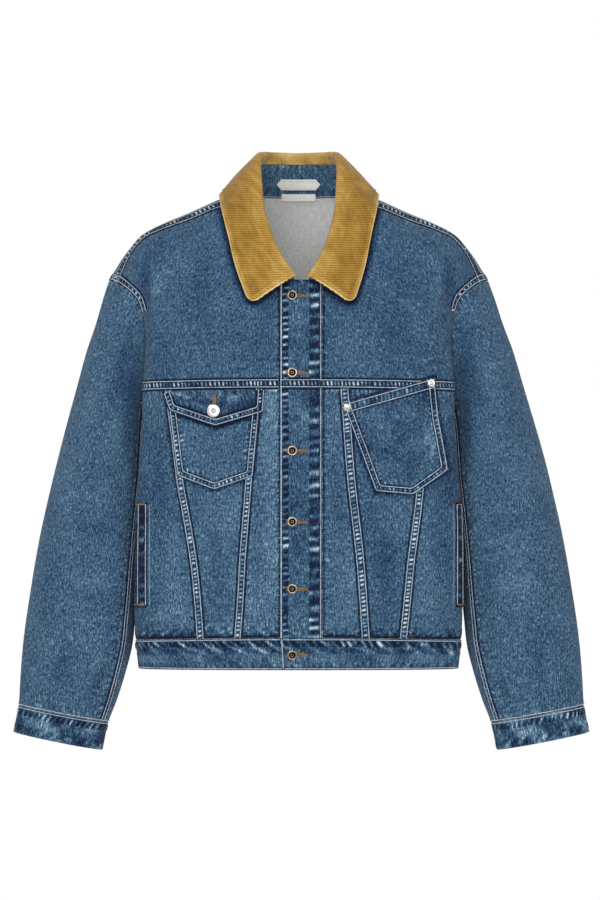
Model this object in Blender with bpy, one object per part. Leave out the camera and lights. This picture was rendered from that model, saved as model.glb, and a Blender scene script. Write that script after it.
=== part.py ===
"""Denim jacket with a corduroy collar, filled out as if worn, hollow and open.

The body stands around an unseen wearer: X to the wearer's left, -Y forward, +Z up, with the
origin between the shoulders, at the height of the neck's sides. Every size below is in
millimetres until a mesh is made. The cloth is worked out as grids of points that share the
points of their seams; each grid then gets its thickness along the points' common normals.
"""
import math
from collections import namedtuple

import bpy
import numpy as np
from mathutils import Vector
from mathutils.bvhtree import BVHTree

METRE = 0.001

# ---------------------------------------------------------------- driving dimensions
DENIM = 1.6  # thickness of one wall of denim
DOUBLED = 2.0  # waistband and cuffs, two layers pressed together
CORDUROY = 2.4
SEAM_GAP = 0.3
EVEN_GAPS = (SEAM_GAP, SEAM_GAP, SEAM_GAP, SEAM_GAP)  # below, above, left, right
WIDE_ABOVE = (SEAM_GAP, 0.8, SEAM_GAP, SEAM_GAP)  # where two walls meet at an angle
WIDE_BELOW = (0.8, SEAM_GAP, SEAM_GAP, SEAM_GAP)
HEM = -623.0
WAIST_SEAM = -584.0
UNDERARM = -300.0
YOKE_SEAM = -256.0
PLACKET_FROM = -24.0  # the over placket's free edge
PLACKET_TO = 32.0  # its stitched edge
PLACKET_BOW = 0.5  # how far the middle of the placket stands forward
CORNER = 4.2  # exponent of the body's rounded section
CROWN = 0.12  # share of the depth that the front and back lose toward the sides
ARM_PRESS_WIDTH = 52.0
CLOSING = 0.909  # how soon a column of cloth rises before it turns over the shoulder
NECK_HALF_WIDTH = 88.5
NECK_BACK = 78.0
BUTTON_RADIUS = 7.0
FLAP_BUTTON_RADIUS = 8.8
RIVET_RADIUS = 5.0

# The body's level sections below the yoke seam. hollow: how far the arm presses the side in.
# rise: how much higher a level seam lies at the centre than at the side.
Section = namedtuple("Section", "height half_width front back hollow rise")
SECTIONS = (
    Section(-623, 220, 88, 86, 10, 0),
    Section(-606, 223.5, 92, 89, 13, 2),
    Section(-584, 228, 97, 92, 18, 4),
    Section(-530, 232, 103, 98, 26, 4),
    Section(-470, 232, 109, 104, 33, 3),
    Section(-400, 230, 113, 108, 37, 3),
    Section(-340, 225, 116, 112, 35, 3),
    Section(-300, 221, 117, 114, 31, 3),
    Section(-256, 218, 117, 116, 27, 3),
)

# Above the yoke seam: turn goes from 0 at the yoke seam in front, over 90 on top of the
# shoulder, to 180 at the same height behind.
Reach = namedtuple("Reach", "turn half_width hollow")
REACHES = (
    Reach(0, 218, 27),
    Reach(12, 217, 21),
    Reach(24, 218, 14),
    Reach(36, 224, 6),
    Reach(48, 238, 2),
    Reach(60, 250, 0),
    Reach(90, 258, 0),
)

# The line of the shoulders seen from the front.
Ridge = namedtuple("Ridge", "across height")
RIDGE = (
    Ridge(0, 10),
    Ridge(70, 9),
    Ridge(90, 6),
    Ridge(107, 0),
    Ridge(145, -17),
    Ridge(189, -35),
    Ridge(213, -49),
    Ridge(232, -71),
    Ridge(244, -89),
    Ridge(254, -107),
)

# The armhole from the top of the shoulder down to the level of the yoke seam.
Armhole = namedtuple("Armhole", "height across front back")
ARMHOLE = (
    Armhole(-107, 254, 0, 0),
    Armhole(-111, 241, 26, 24),
    Armhole(-121, 226, 43, 41),
    Armhole(-138, 211, 52, 50),
    Armhole(-165, 204, 54, 53),
    Armhole(-200, 202, 51, 52),
)
# The shoulder seam, from the neck to the armhole.
Shoulder = namedtuple("Shoulder", "share turn")
SHOULDER_SEAM = (
    Shoulder(0, 71.5),
    Shoulder(0.55, 72.5),
    Shoulder(0.8, 72),
)
ARMHOLE_AT_YOKE = 42.0  # its distance before and behind the side seam, at the yoke seam
ARMHOLE_BOTTOM_SHAPE = 0.62

# The front neckline under the collar.
Neck = namedtuple("Neck", "across height")
NECKLINE = (
    Neck(32, -110),
    Neck(46, -92),
    Neck(60, -70),
    Neck(73, -45),
    Neck(83, -22),
    Neck(88.5, -5),
)
BACK_NECK_TURN = 99.0

# The slanting seams of the lower front, as distances to the wearer's left of the middle.
Slant = namedtuple("Slant", "height outer_right inner_right inner_left outer_left")
SLANTS = (
    Slant(-590, -125, -82, 90, 136),
    Slant(-530, -131, -76.5, 86, 142),
    Slant(-477, -138, -73, 82, 147),
    Slant(-425, -148, -68, 76, 154),
    Slant(-370, -159, -63, 70, 160),
    Slant(-256, -175, -48, 61.5, 168),
)

# The collar from the centre back (along 0) to its front end (along 1): its roll, and the
# turn of its outer edge over the shoulder with that edge's distance from the middle.
Collar = namedtuple("Collar", "along roll_x roll_y roll_z edge_x edge_turn")
COLLAR = (
    Collar(0.00, 0, 74, 62.2, 0, 112),
    Collar(0.12, 28, 70, 62.7, 42, 111),
    Collar(0.22, 44, 54, 62.5, 72, 108),
    Collar(0.32, 52.5, 28, 59.5, 92, 102),
    Collar(0.42, 55, 2, 51, 102, 95),
    Collar(0.52, 55, -22, 35, 104, 84),
    Collar(0.62, 53.5, -45, 12, 100, 62.5),
    Collar(0.72, 51, -65, -15, 93, 49.0),
    Collar(0.82, 44, -83, -43, 86, 37.6),
    Collar(0.91, 33.5, -100, -73, 77, 29.2),
    Collar(1.00, 15, -117, -102.5, 67, 22.4),
)
COLLAR_SHIFT = 4.0  # the front ends lie this far to the wearer's left
STAND_SHARE = 0.69  # denim's share of the collar's inner height
LEAF_CLEARANCE = 3.4

# The sleeve's rings from the armhole to the cuff, by their outer and inner point seen from
# the front, their half depth, and how far forward their middle lies.
Ring = namedtuple("Ring", "outer_x outer_z inner_x inner_z half_depth forward")
SLEEVE = (
    Ring(254, -107, 193, -300, 55, 0),
    Ring(262, -133, 199, -311, 59, 0),
    Ring(271, -166, 202, -328, 63, 0),
    Ring(283, -203, 203, -350, 68, 0),
    Ring(296, -252, 204, -378, 73, 1),
    Ring(309, -300, 206, -408, 73, 3),
    Ring(321, -347, 208, -438, 72, 5),
    Ring(332, -393, 210, -466, 70, 8),
    Ring(342, -438, 212, -494, 67, 11),
    Ring(350, -481, 214, -524, 63, 14),
    Ring(357, -525, 217, -558, 59, 17),
    Ring(363, -566, 221, -594, 54, 20),
    Ring(367, -603, 230, -630, 48, 23),
    Ring(369.5, -640, 241, -665, 41, 26),
    Ring(371.5, -671.5, 252, -694, 35, 28),
)
CUFF_END = Ring(378.5, -707, 260, -731, 34, 30)
LEFT_SLEEVE_SWING = 7.5  # the wearer's left sleeve stands this much farther out

# Buttons of the placket by their height.
BUTTON_HEIGHTS = (-131, -232, -334, -427, -515, -602)
BUTTON_ACROSS = -8.0
SEAT = 0.4  # gap under a button or rivet

# Outlines of what lies on the front, as (across, height) seen from the front.
FLAP_TOP = ((-178, -256.5), (-44, -255))
FLAP_BOTTOM = ((-169.5, -281.5), (-109, -302), (-46, -283.5))
FLAP_BUTTON = (-111, -282)
POCKET_TOP = ((-172, -262), (-48, -262))
POCKET_BOTTOM = ((-159, -367), (-110.5, -385.5), (-59.5, -368))
POCKET_RIGHT_SIDE = ((-159, -367), (-169.5, -281), (-172, -262))
POCKET_LEFT_SIDE = ((-59.5, -368), (-51.5, -286), (-48, -262))
TILTED_TOP = ((58, -272.5), (178.5, -238))
TILTED_BOTTOM = ((101, -387.5), (150.5, -392), (197, -359.5))
TILTED_INNER_SIDE = ((101, -387.5), (58, -272.5))
TILTED_OUTER_SIDE = ((197, -359.5), (184, -290), (178.5, -238))
RIVETS = ((63.5, -277.5), (174, -245.5))
POCKET_LIFT = 0.6
FLAP_LIFT = 2.7
WELT_INNER = {-1: 199, 1: 207}  # the welts' inner edges from the middle, right and left
WELT_BOTTOM = -541
WELT_TOP = -402
WELT_WIDTH = 25
WELT_LIFT = 0.5
WELT_THICKNESS = 1.8
NECK_LABEL = (29.5, 7.2, 24.8)  # half width, half height, height of its middle
NECK_LABEL_POINT = 6.0
NECK_LABEL_TAPER = 0.75  # share of its height that the pointed ends lose
CARE_LABEL = (23.0, 12.5, 2.8)  # half width, top, bottom
LABEL_THICKNESS = 1.0
LABEL_LIFT = 0.4

# Turned profiles from back to front: share of the radius, distance out.
BUTTON_PROFILE = ((0.45, 0), (1, 1.2), (1, 2.8), (0.8, 3.7), (0.46, 2.9))
RIVET_PROFILE = ((1, 0), (1, 1.0), (0.72, 1.9), (0.3, 2.2))

OVERLAP = 2.2  # how far the over placket and the waistband's shown end are lifted
ROLL_RADIUS = 2.8
LEAF_PUFF = 4.0  # how far the leaf stands off a straight line from its roll to its edge
PUFF_SHAPE = 0.8
SHIFT_POWER = 3
STAND_SHARES = (0, 0.25, 0.5, STAND_SHARE)
INNER_SHARES = (0.85,)
ROLL_DEGREES = (0, 45, 90, 135, 180)
LEAF_SHARES = (0.12, 0.3, 0.5, 0.7, 0.86, 1.0)
WAISTBAND_HEIGHTS = (HEM, (HEM + WAIST_SEAM) / 2, WAIST_SEAM)
LIFT_COLUMNS = 3  # columns over which the waistband's shown end comes down again
SWING_RINGS = 6  # rings over which the left sleeve swings out
LOOP_FADE_RINGS = 4  # rings over which the armhole's shape fades from the sleeve
INNER_SWING = 0.4
BACK_BEND = 1.5
NECK_TUCK = 0.2
SEAM_MARGIN = 0.02
PROBE = np.array([-0.5, 0.5])
FAR = 400.0
ARMHOLE_SEARCH = 50.0  # the armhole lies between this angle and the side
WIDEST_ANGLE = 86.0
SEARCH_STEPS = 401

RIM_DIAGONAL = (0.31, 0.57, 0.76)  # so that the rims of two pieces are split alike at a seam

# Grid counts.
SIDE_COLUMNS = 6
MIDDLE_COLUMNS = 5
CENTRE_COLUMNS = 4
PLACKET_COLUMNS = 3
NECK_COLUMNS = 6
BACK_NECK_COLUMNS = 7
BACK_SPREAD = 48.0  # the angle below the yoke's height at which those columns end
BACK_NECK_SIDE = 0.72  # the share of those columns behind the shoulder's top
LOWER_HEIGHTS = (-584, -552, -520, -484, -448, -410, -374, -338, -300, -278, -256)
FRONT_TURNS = 10
BACK_TURNS = 13
TURNED_SIDES = 14
PATCH_COLUMNS = 8
POCKET_ROWS = 7
FLAP_ROWS = 3
WELT_COLUMNS = 3
WELT_ROWS = 6
LABEL_POINTS = 9
FINE_COLUMNS = 201
FINE_LOWER_ROWS = 101
FINE_UPPER_ROWS = 13
FINE_TURN = 26.0


# ---------------------------------------------------------------- curves through tables
def through(keys, values, at):
    """A smooth curve through the values that doesn't overshoot them."""
    keys = np.asarray(keys, float)
    values = np.asarray(values, float)
    steps = np.diff(keys)
    rates = np.diff(values) / steps
    slopes = np.empty(len(keys))
    slopes[0] = rates[0]
    slopes[-1] = rates[-1]
    before = rates[:-1]
    after = rates[1:]
    same_way = before * after > 0
    safe = np.where(same_way, before + after, 1.0)
    slopes[1:-1] = np.where(same_way, 2 * before * after / safe, 0.0)
    at = np.clip(np.asarray(at, float), keys[0], keys[-1])
    i = np.clip(np.searchsorted(keys, at, side="right") - 1, 0, len(steps) - 1)
    t = (at - keys[i]) / steps[i]
    start = values[i] * (1 + 2 * t) * (1 - t) ** 2
    end = values[i + 1] * (3 - 2 * t) * t**2
    leave = slopes[i] * steps[i] * t * (1 - t) ** 2
    arrive = slopes[i + 1] * steps[i] * (t - 1) * t**2
    return start + end + leave + arrive


def read(table, key, value, at):
    rows = sorted(table, key=lambda row: getattr(row, key))
    keys = [getattr(row, key) for row in rows]
    return through(keys, [getattr(row, value) for row in rows], at)


def smooth_step(t):
    t = np.clip(t, 0.0, 1.0)
    return t * t * (3 - 2 * t)


# ---------------------------------------------------------------- the body's form
def pressed_in(x, y, hollow):
    """The sides pressed in by the arms."""
    return x - np.sign(x) * hollow * np.exp(-((y / ARM_PRESS_WIDTH) ** 2))


def outline(angle, half_width, depth):
    """A rounded, slightly crowned section. angle: degrees from the middle to the side."""
    side = np.sin(np.radians(angle))
    ahead = np.cos(np.radians(angle))
    span = np.abs(side / half_width) ** CORNER + np.abs(ahead / depth) ** CORNER
    radius = span ** (-1 / CORNER)
    x = radius * side
    return x, radius * ahead * (1 - CROWN * (x / half_width) ** 2)


def lower(face, angle, height):
    """A point of the body below the yoke seam. face: -1 in front, 1 behind."""
    half_width = read(SECTIONS, "height", "half_width", height)
    depth = read(SECTIONS, "height", "front" if face < 0 else "back", height)
    x, reach = outline(angle, half_width, depth)
    y = face * reach
    rise = read(SECTIONS, "height", "rise", height) * (1 - (x / half_width) ** 2)
    x = pressed_in(x, y, read(SECTIONS, "height", "hollow", height))
    return np.stack([x, y, height + rise], -1)


def neck_curve(x):
    """How far back the shoulders' top lies: beside the neck it follows the neck's back."""
    inside = np.clip(1 - (x / NECK_HALF_WIDTH) ** 2, 0, 1)
    return NECK_BACK * np.sqrt(inside)


def upper(angle, turn):
    """A point of the body above the yoke seam, turned over the shoulder."""
    turn = np.asarray(turn, float)
    behind = turn > 90
    folded = np.where(behind, 180 - turn, turn)
    half_width = read(REACHES, "turn", "half_width", folded)
    depth = np.where(behind, SECTIONS[-1].back, SECTIONS[-1].front)
    x, reach = outline(angle, half_width, depth)
    y = np.where(behind, reach, -reach)
    ridge = np.where(behind, neck_curve(x), 0.0)
    closed = np.cos(np.radians(folded))
    y = ridge + (y - ridge) * closed
    risen = np.sin(np.radians(folded)) ** CLOSING
    start = YOKE_SEAM + SECTIONS[-1].rise * (1 - (x / half_width) ** 2)
    z = start + risen * (read(RIDGE, "across", "height", np.abs(x)) - start)
    x = pressed_in(x, y, read(REACHES, "turn", "hollow", folded))
    return np.stack([x, y, z], -1)


SAMPLES = np.linspace(0, WIDEST_ANGLE, SEARCH_STEPS)


def lower_angle(face, x, height):
    """The angle at which a level section passes x."""
    found = lower(face, SAMPLES, np.full(len(SAMPLES), height))[:, 0]
    rising = np.maximum.accumulate(found)
    return math.copysign(np.interp(abs(x), rising, SAMPLES), x)


def upper_angle(x, turn):
    found = upper(SAMPLES, np.full(len(SAMPLES), turn))[:, 0]
    rising = np.maximum.accumulate(found)
    return math.copysign(np.interp(abs(x), rising, SAMPLES), x)


def turn_of(across, height):
    """The turn in front at which the body is this high."""
    start = YOKE_SEAM + SECTIONS[-1].rise * (1 - (across / SECTIONS[-1].half_width) ** 2)
    top = read(RIDGE, "across", "height", abs(across))
    risen = np.clip((height - start) / (top - start), 0, 1)
    return math.degrees(math.asin(risen ** (1 / CLOSING)))


# ---------------------------------------------------------------- the armhole
def armhole_low(face, height):
    """The armhole between the underarm and the yoke seam, on the body's own section."""
    share = (height - UNDERARM) / (YOKE_SEAM - UNDERARM)
    away = ARMHOLE_AT_YOKE * max(share, 0.0) ** ARMHOLE_BOTTOM_SHAPE
    fine = np.linspace(ARMHOLE_SEARCH, 90, SEARCH_STEPS)
    points = lower(face, fine, np.full(len(fine), height))
    nearest = int(np.argmin(np.abs(np.abs(points[:, 1]) - away)))
    return points[nearest], fine[nearest]


def armhole_high(turn):
    """The armhole above the yoke seam, by the turn over the shoulder."""
    face = "front" if turn <= 90 else "back"
    folded = turn if turn <= 90 else 180 - turn
    base = armhole_low(-1 if turn <= 90 else 1, YOKE_SEAM)[0]
    rows = sorted(ARMHOLE, key=lambda row: row.height)
    turns = [0.0]
    turns += [turn_of(row.across, row.height) for row in rows[:-1]]
    turns += [90.0]
    across = [base[0]] + [row.across for row in rows]
    heights = [base[2]] + [row.height for row in rows]
    depths = [abs(base[1])] + [getattr(row, face) for row in rows]
    sign = -1 if turn <= 90 else 1
    return np.array([
        through(turns, across, folded),
        sign * through(turns, depths, folded),
        through(turns, heights, folded),
    ])


def armhole_angle(turn):
    """The angle of the form's own point that lies nearest the armhole."""
    target = armhole_high(turn)
    fine = np.linspace(ARMHOLE_SEARCH, 90, SEARCH_STEPS)
    points = upper(fine, np.full(len(fine), turn))
    return fine[int(np.argmin(((points - target) ** 2).sum(1)))]


SHOULDER_END = turn_of(ARMHOLE[1].across, ARMHOLE[1].height)


def shoulder_seam_turn(share):
    """The shoulder seam lies in front of the shoulder's top. share: 0 neck, 1 armhole."""
    shares = [row.share for row in SHOULDER_SEAM] + [1]
    return through(shares, [row.turn for row in SHOULDER_SEAM] + [SHOULDER_END], share)


def spread_to_armhole(angles, turn):
    """Angles of a row's columns, drawn out or in so that the last one meets the armhole."""
    share = np.linspace(0, 1, len(angles)) ** 2
    return angles * (1 + (armhole_angle(turn) / angles[-1] - 1) * share)


def draw_to_armhole(points, target, columns):
    """The last columns of a row bend so that the row ends on the armhole."""
    weight = smooth_step((np.arange(len(points)) - (len(points) - 1 - columns)) / columns)
    return points + weight[:, None] * (target - points[-1])


# ---------------------------------------------------------------- grids
def spaced(stops, counts):
    """Values through the stops, with counts[i] even steps between stop i and i + 1."""
    values = [stops[0]]
    for start, end, count in zip(stops, stops[1:], counts):
        values += [start + (end - start) * (i + 1) / count for i in range(count)]
    return np.array(values)


HALF_COUNTS = (CENTRE_COLUMNS, MIDDLE_COLUMNS, SIDE_COLUMNS)
SHOULDER_COLUMNS = sum(HALF_COUNTS) - NECK_COLUMNS
BACK_COLUMNS = BACK_NECK_COLUMNS + SHOULDER_COLUMNS
LEFT_EDGE = sum(HALF_COUNTS)  # the front column at the over placket's free edge
RIGHT_EDGE = LEFT_EDGE + PLACKET_COLUMNS  # and at its stitched edge
UNDERARM_ROW = LOWER_HEIGHTS.index(UNDERARM)
YOKE_ROW = LOWER_HEIGHTS.index(YOKE_SEAM)
UNDER_SLEEVE_FROM = -8  # loop columns from the underarm to the sleeve's back seam
UNDER_SLEEVE_COLUMNS = 10

# The lower front's pieces from the wearer's right to left; the placket's strip between them.
FRONT_PANELS = (
    "side_right",
    "middle_right",
    "centre_right",
    None,
    "centre_left",
    "middle_left",
    "side_left",
)

DENIM_COLOUR = (0.06, 0.13, 0.21)
CORDUROY_COLOUR = (0.4, 0.22, 0.04)
METAL_COLOUR = (0.55, 0.5, 0.45)
LABEL_COLOUR = (0.8, 0.78, 0.72)
CLOTH_ROUGHNESS = 0.88
METAL_ROUGHNESS = 0.35
LABEL_ROUGHNESS = 0.7
SHARP_ANGLE = math.radians(50)


def front_seams(side, height):
    """Where the seams of one lower front lie, from the placket outward."""
    name = "left" if side > 0 else "right"
    placket = PLACKET_TO if side > 0 else PLACKET_FROM
    inner = read(SLANTS, "height", "inner_" + name, height)
    outer = read(SLANTS, "height", "outer_" + name, height)
    return placket, float(inner), float(outer)


def front_lower_row(side, height):
    """One half row of the lower front, from the placket's edge to the side seam or armhole."""
    seams = front_seams(side, height)
    angles = [abs(lower_angle(-1, x, height)) for x in seams]
    last = 90.0 if height <= UNDERARM else armhole_low(-1, height)[1]
    row_angles = spaced(angles + [last], HALF_COUNTS)
    points = lower(-1, side * row_angles, np.full(len(row_angles), height))
    return points, row_angles


def top_edge(side):
    """The neckline and then the shoulder seam, as angles and turns of the front's columns."""
    shares = np.linspace(0, 1, NECK_COLUMNS + 1)
    places = [row.across for row in NECKLINE]
    levels = [row.height for row in NECKLINE]
    runs = np.concatenate([[0], np.cumsum(np.hypot(np.diff(places), np.diff(levels)))])
    across = through(runs, places, shares * runs[-1])
    heights = through(runs, levels, shares * runs[-1])
    if side < 0:
        across[0] = -PLACKET_FROM
    turns = [turn_of(x, z) for x, z in zip(across, heights)]
    angles = [upper_angle(x, turn) for x, turn in zip(across, turns)]
    seam_shares = np.linspace(0, 1, SHOULDER_COLUMNS + 1)[1:]
    seam_turns = shoulder_seam_turn(seam_shares)
    ends = np.linspace(NECK_HALF_WIDTH, ARMHOLE[1].across, SHOULDER_COLUMNS + 1)[1:]
    for x, turn in zip(ends[:-1], seam_turns[:-1]):
        turns.append(float(turn))
        angles.append(upper_angle(x, float(turn)))
    turns.append(SHOULDER_END)
    angles.append(armhole_angle(SHOULDER_END))
    return np.array(angles), np.array(turns)


def front_upper(side):
    """The half front above the yoke seam, rows from the seam up."""
    start = front_lower_row(side, YOKE_SEAM)[1]
    ends, turns = top_edge(side)
    rows = []
    for step in np.linspace(0, 1, FRONT_TURNS + 1):
        bend = (smooth_step(step) + step) / 2
        angles = start + (ends - start) * bend
        row_turns = turns * step
        angles = spread_to_armhole(angles, row_turns[-1])
        points = upper(side * angles, row_turns)
        target = armhole_high(row_turns[-1]) * (side, 1, 1)
        rows.append(draw_to_armhole(points, target, SIDE_COLUMNS))
    return np.array(rows)


def fine_front():
    """The front's form closely spaced and without its seams, for what is laid on it."""
    angles = np.linspace(-SAMPLES[-1], SAMPLES[-1], FINE_COLUMNS)
    rows = []
    for height in np.linspace(HEM, YOKE_SEAM, FINE_LOWER_ROWS):
        rows.append(lower(-1, angles, np.full(FINE_COLUMNS, height)))
    for turn in np.linspace(0, FINE_TURN, FINE_UPPER_ROWS)[1:]:
        rows.append(upper(angles, np.full(FINE_COLUMNS, turn)))
    return np.array(rows)


def front_half(side):
    rows = [front_lower_row(side, height)[0] for height in LOWER_HEIGHTS]
    high = front_upper(side)
    high[0] = rows[-1]
    return np.concatenate([np.array(rows), high[1:]])


def back_lower_row(height):
    last = 90.0 if height <= UNDERARM else armhole_low(1, height)[1]
    angles = spaced([0, BACK_SPREAD, last], [BACK_NECK_COLUMNS, SHOULDER_COLUMNS])
    return lower(1, angles, np.full(len(angles), height)), angles


def back_half():
    """The half back, rows from the hem side up and over to the shoulder seam."""
    rows = [back_lower_row(height)[0] for height in LOWER_HEIGHTS]
    start = back_lower_row(YOKE_SEAM)[1]
    front_ends, front_turns = top_edge(1)
    ends = []
    turns = []
    for share in np.arange(BACK_NECK_COLUMNS) / BACK_NECK_COLUMNS:
        round_share = min(share / BACK_NECK_SIDE, 1)
        over_share = max((share - BACK_NECK_SIDE) / (1 - BACK_NECK_SIDE), 0)
        across = (NECK_HALF_WIDTH - NECK_TUCK) * math.sin(math.pi / 2 * round_share)
        turn = BACK_NECK_TURN + (90 - BACK_NECK_TURN) * round_share**2
        turn += (front_turns[NECK_COLUMNS] - 90) * over_share
        turns.append(turn)
        ends.append(upper_angle(across, turn))
    ends += list(front_ends[NECK_COLUMNS:])
    turns += list(front_turns[NECK_COLUMNS:])
    ends = np.array(ends)
    turns = np.array(turns)
    for step in np.linspace(0, 1, BACK_TURNS + 1)[1:]:
        bend = step**BACK_BEND
        angles = start + (ends - start) * bend
        row_turns = 180 + (turns - 180) * step
        angles = spread_to_armhole(angles, row_turns[-1])
        points = upper(angles, row_turns)
        target = armhole_high(row_turns[-1])
        rows.append(draw_to_armhole(points, target, SIDE_COLUMNS))
    rows[-1][BACK_NECK_COLUMNS:] = front_upper(1)[-1, NECK_COLUMNS:]
    return np.array(rows)


def mirrored(grid):
    """The other half of a grid, with its columns in the opposite order."""
    return grid[:, ::-1] * (-1, 1, 1)


def across_placket(right, left):
    """A front's columns with the hidden strip under the placket between its two halves."""
    blend = np.linspace(0, 1, PLACKET_COLUMNS + 1)[1:-1, None]
    middle = right[:, -1:] + (left[:, :1] - right[:, -1:]) * blend
    middle[:, :, 1] -= PLACKET_BOW
    return np.concatenate([right, middle, left], 1)


def front_grid():
    """The whole front, columns from the wearer's right to left, rows from the waist up."""
    return across_placket(front_half(-1)[:, ::-1], front_half(1))


def back_grid():
    """The whole back, columns from the wearer's left to right, rows from the waist up."""
    half = back_half()
    return np.concatenate([half[:, ::-1], mirrored(half[:, ::-1])[:, 1:]], 1)


def waistband_grid():
    """The waistband, from its shown end on the placket round the back to its hidden end."""
    rows = []
    for height in WAISTBAND_HEIGHTS:
        halves = []
        for side in (-1, 1):
            angles = front_lower_row(side, WAIST_SEAM)[1]
            halves.append(lower(-1, side * angles, np.full(len(angles), height)))
        around = across_placket(halves[0][None, ::-1], halves[1][None])[0]
        angles = back_lower_row(WAIST_SEAM)[1]
        half = lower(1, angles, np.full(len(angles), height))
        behind = np.concatenate([half[::-1], half[1:] * (-1, 1, 1)])
        shown = around[LEFT_EDGE:]
        lifted = 1 - smooth_step((np.arange(len(shown)) - PLACKET_COLUMNS) / LIFT_COLUMNS)
        shown = shown - np.stack([0 * lifted, OVERLAP * lifted, 0 * lifted], -1)
        rows.append(np.concatenate([shown, behind[1:-1], around[:RIGHT_EDGE + 1]]))
    return np.array(rows)


# ---------------------------------------------------------------- the sleeves
def armhole_loop(front, back):
    """The armhole on the wearer's left: up its front from the underarm, down its back."""
    up_front = front[UNDERARM_ROW:, -1]
    down_back = back[UNDERARM_ROW + 1:-1, 0][::-1]
    return np.concatenate([up_front, down_back])


def loop_angles(loop):
    """Each loop point's angle round the sleeve: 180 at the underarm, 0 at the shoulder."""
    top = int(np.argmax(loop[:, 2]))
    closed = np.concatenate([loop, loop[:1]])
    runs = np.concatenate([[0], np.cumsum(np.linalg.norm(np.diff(closed, axis=0), axis=1))])
    front = 180 - 180 * runs[:top + 1] / runs[top]
    back = -180 * (runs[top + 1:-1] - runs[top]) / (runs[-1] - runs[top])
    return np.concatenate([front, back])


def sleeve_ring(ring, angles, swing):
    outer = np.array([ring.outer_x + swing, 0, ring.outer_z])
    inner = np.array([ring.inner_x + swing * INNER_SWING, 0, ring.inner_z])
    middle = (outer + inner) / 2
    half = (outer - inner) / 2
    middle[1] -= ring.forward
    turned = np.radians(angles)[:, None]
    deep = np.array([0, -ring.half_depth, 0])
    return middle + half * np.cos(turned) + deep * np.sin(turned)


def sleeve_grid(loop, swing):
    """The wearer's left sleeve, rows from the cuff's end up to the armhole."""
    angles = loop_angles(loop)
    kept = loop - sleeve_ring(SLEEVE[0], angles, 0)
    rows = []
    for i, ring in enumerate(SLEEVE + (CUFF_END,)):
        share = min(swing, swing * i / SWING_RINGS)
        points = sleeve_ring(ring, angles, share)
        fade = 1 - smooth_step(i / LOOP_FADE_RINGS)
        rows.append(points + kept * fade)
    rows[0] = loop
    return np.array(rows[::-1])


# ---------------------------------------------------------------- the collar
def neck_loop(front, back):
    """The neckline from the wearer's left front end round the back to the right one."""
    left = front[-1, LEFT_EDGE + PLACKET_COLUMNS - 1:RIGHT_EDGE + NECK_COLUMNS + 1]
    centre = BACK_COLUMNS
    behind = back[-1, centre - BACK_NECK_COLUMNS + 1:centre + BACK_NECK_COLUMNS]
    right = front[-1, LEFT_EDGE - NECK_COLUMNS:LEFT_EDGE + 2]
    return np.concatenate([left, behind, right])


def signed_runs(neck):
    """How far along the collar each neckline point is: -1 and 1 at the ends, 0 behind."""
    runs = np.concatenate([[0], np.cumsum(np.linalg.norm(np.diff(neck, axis=0), axis=1))])
    middle = len(neck) // 2
    left = 1 - runs[:middle + 1] / runs[middle]
    right = (runs[middle + 1:] - runs[middle]) / (runs[-1] - runs[middle])
    return np.concatenate([left, -right])


def unit(vector):
    return vector / np.linalg.norm(vector)


def collar_lines(neck):
    """The collar's roll and outer edge over each neckline point."""
    rolls = []
    edges = []
    for run in signed_runs(neck):
        along = abs(run)
        side = 1 if run >= 0 else -1
        shift = COLLAR_SHIFT * along**SHIFT_POWER
        at = {name: float(read(COLLAR, "along", name, along)) for name in Collar._fields}
        rolls.append((side * at["roll_x"] + shift, at["roll_y"], at["roll_z"]))
        angle = upper_angle(at["edge_x"], at["edge_turn"])
        ring = upper(angle + PROBE, np.full(2, at["edge_turn"]))
        rise = upper(np.full(2, angle), at["edge_turn"] + PROBE)
        outward = unit(np.cross(ring[1] - ring[0], rise[1] - rise[0]))
        point = upper(np.array([angle]), np.array([at["edge_turn"]]))[0]
        point = point + outward * LEAF_CLEARANCE
        edges.append((side * point[0] + shift, point[1], point[2]))
    return np.array(rolls), np.array(edges)


def collar_grid(neck):
    """The collar's hidden side: up from the neckline, over the roll and down the leaf."""
    rolls, edges = collar_lines(neck)
    columns = []
    for i, (base, roll, edge) in enumerate(zip(neck, rolls, edges)):
        ahead = unit(rolls[min(i + 1, len(rolls) - 1)] - rolls[max(i - 1, 0)])
        rise = roll - base
        fall = edge - roll
        rise_way = unit(rise - ahead * rise.dot(ahead))
        fall_way = unit(fall - ahead * fall.dot(ahead))
        crest = unit(rise_way - fall_way)
        outward = unit(np.cross(ahead, crest))
        inner = roll - outward * ROLL_RADIUS
        outer = roll + outward * ROLL_RADIUS
        column = [base + (inner - base) * share for share in STAND_SHARES]
        column += [base + (inner - base) * share for share in INNER_SHARES]
        for degrees in ROLL_DEGREES:
            swing = math.radians(degrees)
            bend = math.sin(swing) * crest - math.cos(swing) * outward
            column.append(roll + ROLL_RADIUS * bend)
        for share in LEAF_SHARES:
            puff = LEAF_PUFF * math.sin(math.pi * share) ** PUFF_SHAPE
            column.append(outer + (edge - outer) * share + outward * puff)
        columns.append(column)
    return np.array(columns).transpose(1, 0, 2)


# ---------------------------------------------------------------- walls
def cell_normals(grid):
    across = grid[1:, 1:] - grid[:-1, :-1]
    slant = grid[1:, :-1] - grid[:-1, 1:]
    return np.cross(across, slant)


def point_key(point):
    return tuple(np.round(point, 2))


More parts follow.
